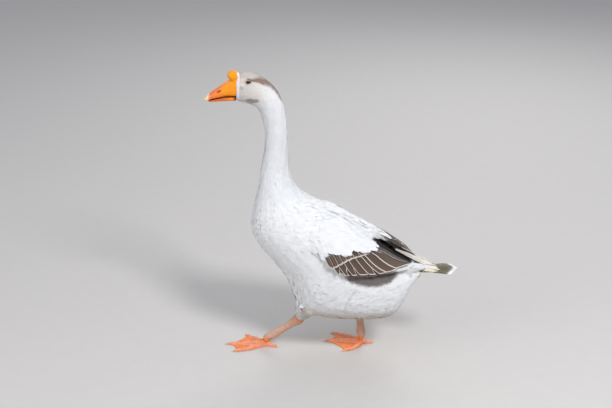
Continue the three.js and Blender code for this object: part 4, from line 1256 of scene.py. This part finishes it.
def shape_upper_bill(points, normals, smoother):
    x, _, z = points.T
    dip = 1.7 * np.exp(-nostril_reach(points) ** 2 * 1.4)
    ring = 0.45 * np.exp(-((nostril_reach(points) - 1.5) / 0.5) ** 2)
    edge = np.interp(x, *UPPER_EDGE)
    groove = 0.5 * np.exp(-((z - edge - 3.2) / 1.1) ** 2) * (x < -238)
    teeth = 0.25 * np.sin(x * 2.4) * np.exp(-((z - edge) / 1.4) ** 2)
    wrinkle = 0.22 * np.sin(z * 1.1 + 2 * np.sin(points[:, 1] * 0.3))
    wrinkle = wrinkle * ramp(-246, -238, x) * ramp(715, 709, z)
    points = points + normals * (ring - dip - groove + teeth + wrinkle)[:, None]
    # The horn's hind rim laps over the front of the face. Here x, y and z are the points' own columns.
    x, y, z = points.T
    rear = ramp(-238.5, -233.5, x)
    x += rear * (np.interp(z, RIM_Z, RIM_X) + 232.6)
    y += rear * np.sign(y) * np.minimum(np.abs(y) * 0.15, 1.1)
    x -= 0.9 * np.maximum(x - np.interp(z, RIM_Z, RIM_X), 0)
    joint = np.exp(-((z - 711) / 6) ** 2) * ramp(-251, -242, x)
    points += (smoother.relax(points, 45, keep_volume=False) - points) * joint[:, None]
    fill = np.exp(-((z - 711.5) / 4.0) ** 2) * ramp(-247, -239, x)
    y += np.sign(y) * 1.5 * fill
    z -= mouth_drop(x) * ramp(9, 0, z - edge)
    return smoother.relax(points, 3)


def paint_upper_bill(points):
    x, _, z = points.T
    cloud = wobble(points, 16, 11)
    colour = flat_colour(BILL, points)
    edge = np.interp(x, *UPPER_EDGE) - mouth_drop(x)
    ridge = np.interp(x, RIDGE_X, RIDGE_Z)
    pink = ramp(-252, -292, x + 5 * cloud) + 0.55 * ramp(9, 2, ridge - z) * (x < -246)
    colour = blend(colour, BILL_PINK, 0.8 * pink)
    colour = blend(colour, KNOB, ramp(704, 712, z) * ramp(-260, -250, x))
    # Painted shade: darker towards the cutting edge, and dark in the gap between the bills below it.
    colour = blend(colour, BILL_SHADE, 0.6 * ramp(3.0, 0.2, z - edge))
    colour = blend(colour, MOUTH_SHADE_UPPER, 0.75 * ramp(0.4, -0.8, z - edge))
    colour = blend(colour, NAIL, 0.7 * ramp(-294, -302, x))
    # Painted shade in the notch where the knob meets the bill.
    notch = side_reach(points, (-249, 711.5), (4.0, 2.2))
    colour = blend(colour, BILL_SHADE, 0.8 * (1 - ramp(0.5, 1.3, notch)))
    colour = blend(colour, NOSTRIL_RED, 1 - ramp(0.55, 1.15, nostril_reach(points)))
    return colour


LOWER_X, LOWER_Z = [-300.5, -276, -261, -233], [659.3, 667.3, 671, 671.5]


def shape_lower_bill(points, normals, smoother):
    below = np.interp(points[:, 0], LOWER_X, LOWER_Z) - points[:, 2]
    points[:, 2] -= mouth_drop(points[:, 0]) * ramp(7, 0, below)
    return points


def paint_lower_bill(points):
    x, _, z = points.T
    top_edge = np.interp(x, LOWER_X, LOWER_Z) - mouth_drop(x)
    # The lower bill lies in the upper bill's shade: its orange is painted darker, lighter over its rear
    # part short of the corner, with painted shade along its top edge and at the mouth's corner.
    colour = flat_colour(LOWER_BILL_SHADE, points)
    colour = blend(colour, BILL, 0.6 * ramp(-262, -244, x) * (1 - ramp(-242, -236, x)))
    dark = ramp(1.8, 0.4, top_edge - z)
    colour = blend(colour, MOUTH_SHADE_LOWER, 0.85 * dark)
    return blend(colour, MOUTH_CORNER_SHADE, 0.8 * ramp(-240, -233.5, x))


def paint_nail(points):
    colour = flat_colour(NAIL, points)
    return blend(colour, NAIL_EDGE, 0.6 * ramp(661.5, 657.5, points[:, 2]))


def shape_nail(points, normals, smoother):
    """The nail's root rises to the ridge of the bill."""
    lift = ramp(-311, -302, points[:, 0]) * ramp(660, 666, points[:, 2])
    return points + lift[:, None] * np.array([1.2, 0, 1.6]) + normals * 0.3


horn_piece("bill_and_knob", ["bill_upper", "knob"], 0.95, 12, bill_horn, "bill_horn",
           paint_upper_bill, shape_upper_bill)
horn_piece("lower_bill", ["bill_lower"], 0.9, 6, bill_horn, "bill_horn", paint_lower_bill,
           shape_lower_bill)
horn_piece("nail", ["bill_nail"], 0.6, 8, nail_horn, "nail_horn", paint_nail, shape_nail)

# ---------------- eyes and lids
def eye_material():
    """A dark iris with fine spokes round the pupil, under a clear wet layer."""
    material, tree, shader = nodes_of("eyeball")
    polar, streak = attribute(tree, "polar"), attribute(tree, "streak")
    grain = noise(tree, 1500.0, 3.0)
    spokes = (streak * 38.0 + grain * 9.0).maths("SINE")
    iris = mixed(tree, spokes.span(-1.0, 1.0), (0.014, 0.007, 0.004, 1), (0.035, 0.016, 0.008, 1))
    colour = mixed(tree, polar.span(0.36, 0.40), (0.002, 0.002, 0.003, 1), iris)
    colour = mixed(tree, polar.span(0.74, 0.86), colour, (0.012, 0.008, 0.007, 1))
    finish_shader(tree, shader, colour, grain, 0.00002, grain.span(0.2, 0.8, 0.05, 0.09),
                  Specular_IOR_Level=0.35, Coat_Weight=0.3, Coat_Roughness=0.03)
    return material


eyeball = eye_material()
lid_skin = hide_material("lid_skin", 300.0, 1500.0, 0.00012, 0.45, 0.6, 0.12, 0.4)
GAZE = unit(np.array([-0.22, 1.0, 0.06]))


def ball(centre, radius, axis, rings=28, spokes=40):
    """Points and triangles of a closed ball, with each point's angles from and round the axis."""
    other = unit(np.cross(axis, (0, 0, 1.0)))
    third = np.cross(axis, other)
    points, polar, turn = [centre + axis * radius], [0.0], [0.0]
    for r in range(1, rings):
        theta = np.pi * r / rings
        for k in range(spokes):
            phi = 2 * np.pi * k / spokes
            points.append(centre + radius * (axis * np.cos(theta) + np.sin(theta) * (
                other * np.cos(phi) + third * np.sin(phi))))
            polar.append(theta)
            turn.append(phi)
    points.append(centre - axis * radius)
    polar.append(np.pi)
    turn.append(0.0)
    faces = []
    last = 1 + (rings - 2) * spokes
    for k in range(spokes):
        n = (k + 1) % spokes
        faces += [(0, 1 + k, 1 + n), (len(points) - 1, last + n, last + k)]
        for a in range(1, last, spokes):
            b = a + spokes
            faces += [(a + k, b + k, b + n), (a + k, b + n, a + n)]
    return np.array(points), np.array(faces), np.array(polar), np.array(turn)


def outward(points, faces):
    """Faces turned so that they look out of a closed body."""
    a, b, c = (points[faces[:, k]] for k in range(3))
    volume = (a * np.cross(b, c)).sum() if faces.shape[1] == 3 else (
        (a * np.cross(b, c)).sum() + (a * np.cross(c, points[faces[:, 3]])).sum())
    return faces if volume > 0 else faces[:, ::-1]


LID_PROFILE = [  # outward share of the way to the outer rim, and height over the surface there
    (0.0, -0.9), (0.0, 0.25), (0.08, 0.6), (0.2, 0.75), (0.32, 0.75), (0.45, 0.7), (0.58, 0.6),
    (0.7, 0.5), (0.82, 0.35), (0.92, 0.15), (1.0, -0.3), (1.0, -2.2), (0.5, -2.6)]
for side, word in SIDES:
    centre = EYE * np.array([1, side, 1])
    gaze = GAZE * np.array([1, side, 1])
    points, faces, polar, turn = ball(BALL * np.array([1, side, 1]), BALL_RADIUS, gaze)
    new_piece(f"eyeball_{word}", new_mesh(f"eyeball_{word}", points, outward(points, faces),
                                          {"polar": polar, "streak": turn}), eyeball, "eye",
              f"eye_{word}")
    ring_points = []
    for k in range(LID_STEPS):
        phi = 2 * np.pi * k / LID_STEPS
        inner = np.array([math.cos(phi) * EYE_OPENING[0], math.sin(phi) * EYE_OPENING[1]])
        # The opening runs to a point at the front corner.
        inner[0] += 0.5 * max(0.0, math.cos(phi)) ** 6 + 0.5 * max(0.0, -math.cos(phi)) ** 6
        inner[1] -= EYE_DROP
        outer = np.array([math.cos(phi) * LID_OUTER[0], math.sin(phi) * LID_OUTER[1]])
        for share, height in LID_PROFILE:
            flat = inner + (outer - inner) * share
            x, z = centre[0] + flat[0], centre[2] + flat[1]
            reach2 = BALL_RADIUS ** 2 - (x - BALL[0]) ** 2 - (z - BALL[2]) ** 2
            on_ball = BALL[1] + math.sqrt(max(reach2, 1.0))
            hit = outer_tree.ray_cast(Vector((x, side * RAY_LENGTH, z)), Vector((0, -side, 0)))
            on_head = abs(hit[0][1]) - 1.0 if hit[0] else on_ball
            level = on_ball + (on_head - on_ball) * float(ramp(0.3, 1.0, share))
            if 0 < height and reach2 > 0:
                level = max(level, on_ball)
            ring_points.append((x, side * (level + height), z))
    columns = len(LID_PROFILE)
    ring = np.array(ring_points)
    index = np.arange(len(ring)).reshape(LID_STEPS, columns)
    beside, next_row = np.roll(index, -1, 1), np.roll(index, -1, 0)
    quads = np.stack([index, beside, np.roll(beside, -1, 0), next_row], -1).reshape(-1, 4)
    from_middle, rise = ring[:, 0] - centre[0], ring[:, 2] - centre[2]
    front = ramp(-3.9, -5.6, from_middle) * ramp(4.5, 2.5, np.abs(rise + EYE_DROP))
    share = np.tile([part[0] for part in LID_PROFILE], LID_STEPS)
    tint = blend(markings(ring, region_at(ring)), LID, ramp(0.8, 0.25, share))
    tint = blend(tint, LID_FRONT, front)
    margin = np.tile([1, 1, 0.75, 0.3] + [0] * (columns - 4), LID_STEPS)
    tint = blend(tint, LID_MARGIN, 0.9 * margin * (1 - front))
    brow = ramp(-1, 2.5, rise) * (1 - margin) * ramp(-4, 1, from_middle)
    tint = blend(tint, STRIPE, 0.8 * brow)
    new_piece(f"lids_{word}", new_mesh(f"lids_{word}", ring, outward(ring, quads), {"tint": tint}),
              lid_skin, "bill_horn")


# ---------------- legs
def segment_place(points, a, b):
    """Share of the way along a segment, and the distance from it."""
    a, b = np.array(a, float), np.array(b, float)
    f = np.clip(((points - a) @ (b - a)) / ((b - a) @ (b - a)), 0, 1)
    return f, np.linalg.norm(points - a - f[:, None] * (b - a), axis=1)


def toe_place(points, side):
    """Distance run along the nearest toe, and how far the point is from that toe's middle line."""
    ankle = LEGS[side]["tarsus"][1]
    best = np.full(len(points), 1e9)
    run = np.zeros(len(points))
    for bow, tip in LEGS[side]["toes"]:
        line = [np.array((*place[:2], TOE_AXIS_Z)) for place in (ankle, bow, tip)]
        done = 0.0
        for a, b in zip(line[:-1], line[1:]):
            f, d = segment_place(points, a, b)
            near = d < best
            best = np.where(near, d, best)
            run = np.where(near, done + f * np.linalg.norm(b - a), run)
            done += np.linalg.norm(b - a)
    return run, best


for side, word in SIDES:
    hock, ankle = (np.array(p, float) for p in LEGS[side]["tarsus"])

    def shape_leg(points, normals, smoother):
        f, _ = segment_place(points, hock, ankle)
        run, off = toe_place(points, side)
        shin = ramp(20, 30, points[:, 2])
        plates = np.abs(np.sin(f * np.linalg.norm(ankle - hock) * np.pi / 5.2)) ** 0.5
        front = ramp(0.1, 0.7, -normals[:, 0])
        move = shin * (1.0 + 2.2 * ramp(0.4, 0.9, f) + 1.6 * np.exp(-(f / 0.14) ** 2))
        move += shin * front * 0.5 * (plates - 0.7)
        x, y, z = points.T
        cells = np.sin(z * 1.3 + 1.2 * np.sin(y * 1.1)) * np.sin(y * 1.4 + x)
        move += shin * (1 - front) * 0.22 * cells
        toe_top = (1 - shin) * ramp(8.5, 6.0, off) * ramp(0.1, 0.6, normals[:, 2])
        move += toe_top * 0.5 * (np.abs(np.sin(run * np.pi / 4.4)) ** 0.5 - 0.7)
        web = (1 - shin) * ramp(7.0, 10.0, off) * ramp(0.3, 0.7, normals[:, 2])
        move += web * 0.35 * np.sin(run * 0.55 + 1.5 * np.sin(off * 0.35))
        for place in (0.36, 0.62, 0.86):
            knuckle = np.exp(-((run / np.maximum(run.max(), 1) - place) / 0.05) ** 2)
            move += toe_top * 0.6 * knuckle
        return points + normals * move[:, None]

    def paint_leg(points):
        off = toe_place(points, side)[1]
        shin = ramp(18, 32, points[:, 2])
        cloud = wobble(points, 12, 21)
        colour = flat_colour(WEB, points)
        colour = blend(colour, TOE, ramp(8.0, 5.5, off) * (0.75 + 0.25 * cloud))
        colour = blend(colour, LEG, shin)
        colour = blend(colour, LEG_GREY, 0.55 * shin * ramp(-0.2, 0.8, cloud))
        joint = 1 - ramp(8, 17, np.linalg.norm(points - hock, axis=1))
        return blend(colour, HOCK, 0.7 * joint)

    horn_piece(f"leg_{word}", [f"tarsus_{word}", f"foot_{word}"], 1.15, 7,
               leg_skin if side < 0 else web_skin, "leg_skin" if side < 0 else "web_skin",
               paint_leg, shape_leg, grow=0.2)
    claws = [f"claw_{word}_{toe}" for toe in ("middle", "outer", "inner", "hind")]
    horn_piece(f"claws_{word}", claws, 0.5, 5, claw_horn, "claw_horn",
               lambda points: flat_colour(CLAW, points), grow=0.05)

# ---------------- floor, light and camera
FLOOR_HALF = 12000.0
floor_corners = FLOOR_HALF * np.array([(-1, -1, 0), (1, -1, 0), (1, 1, 0), (-1, 1, 0)])
floor_mesh = new_mesh("floor", floor_corners, [(0, 1, 2, 3)])
floor = linked("floor", floor_mesh)
floor_material, floor_tree, floor_shader = nodes_of("pale_floor")
speckle = noise(floor_tree, 30.0, 3.0)
floor_colour = mixed(floor_tree, speckle, (0.50, 0.48, 0.46, 1), (0.53, 0.51, 0.49, 1))
finish_shader(floor_tree, floor_shader, floor_colour, speckle, 0.0001, 0.9)
floor_mesh.materials.append(floor_material)

AZIMUTH, ELEVATION = math.radians(5), math.radians(22)
CAMERA_DISTANCE = 3200.0
FIELD_OF_VIEW = math.radians(26.9)
TARGET = np.array([-62.5, 0, 394.0])
back = np.array([math.sin(AZIMUTH) * math.cos(ELEVATION), -math.cos(AZIMUTH) * math.cos(ELEVATION),
                 math.sin(ELEVATION)])
camera_data = bpy.data.cameras.new("camera")
camera_data.sensor_width = 36
camera_data.lens = camera_data.sensor_width / 2 / math.tan(FIELD_OF_VIEW / 2)
camera = linked("camera", camera_data)
camera.location = Vector((TARGET + back * CAMERA_DISTANCE - ORIGIN) * MM)
camera.rotation_euler = Vector(-back).to_track_quat("-Z", "Y").to_euler()
bpy.context.scene.camera = camera

LIGHTS = (  # name, place, aim, size, watts
    ("key", (1.5, -1.9, 2.7), (0, 0, 0.35), 0.9, 92),
    ("fill", (-2.4, -1.8, 1.5), (0, 0, 0.35), 2.4, 34),
    ("rim", (0.6, 2.6, 2.2), (0, 0, 0.35), 1.6, 34),
)
for name, place, aim, extent, watts in LIGHTS:
    data = bpy.data.lights.new(name, "AREA")
    data.shape = "DISK"
    data.size = extent
    data.energy = watts
    lamp = linked(name, data)
    lamp.location = place
    lamp.rotation_euler = (Vector(aim) - Vector(place)).to_track_quat("-Z", "Y").to_euler()
world = bpy.data.worlds.new("studio")
world.use_nodes = True
sky_colour, sky_strength = world.node_tree.nodes["Background"].inputs[:2]
sky_colour.default_value = (0.86, 0.90, 1.0, 1)
sky_strength.default_value = 0.55
bpy.context.scene.world = world
bpy.context.scene.view_settings.view_transform = "Standard"
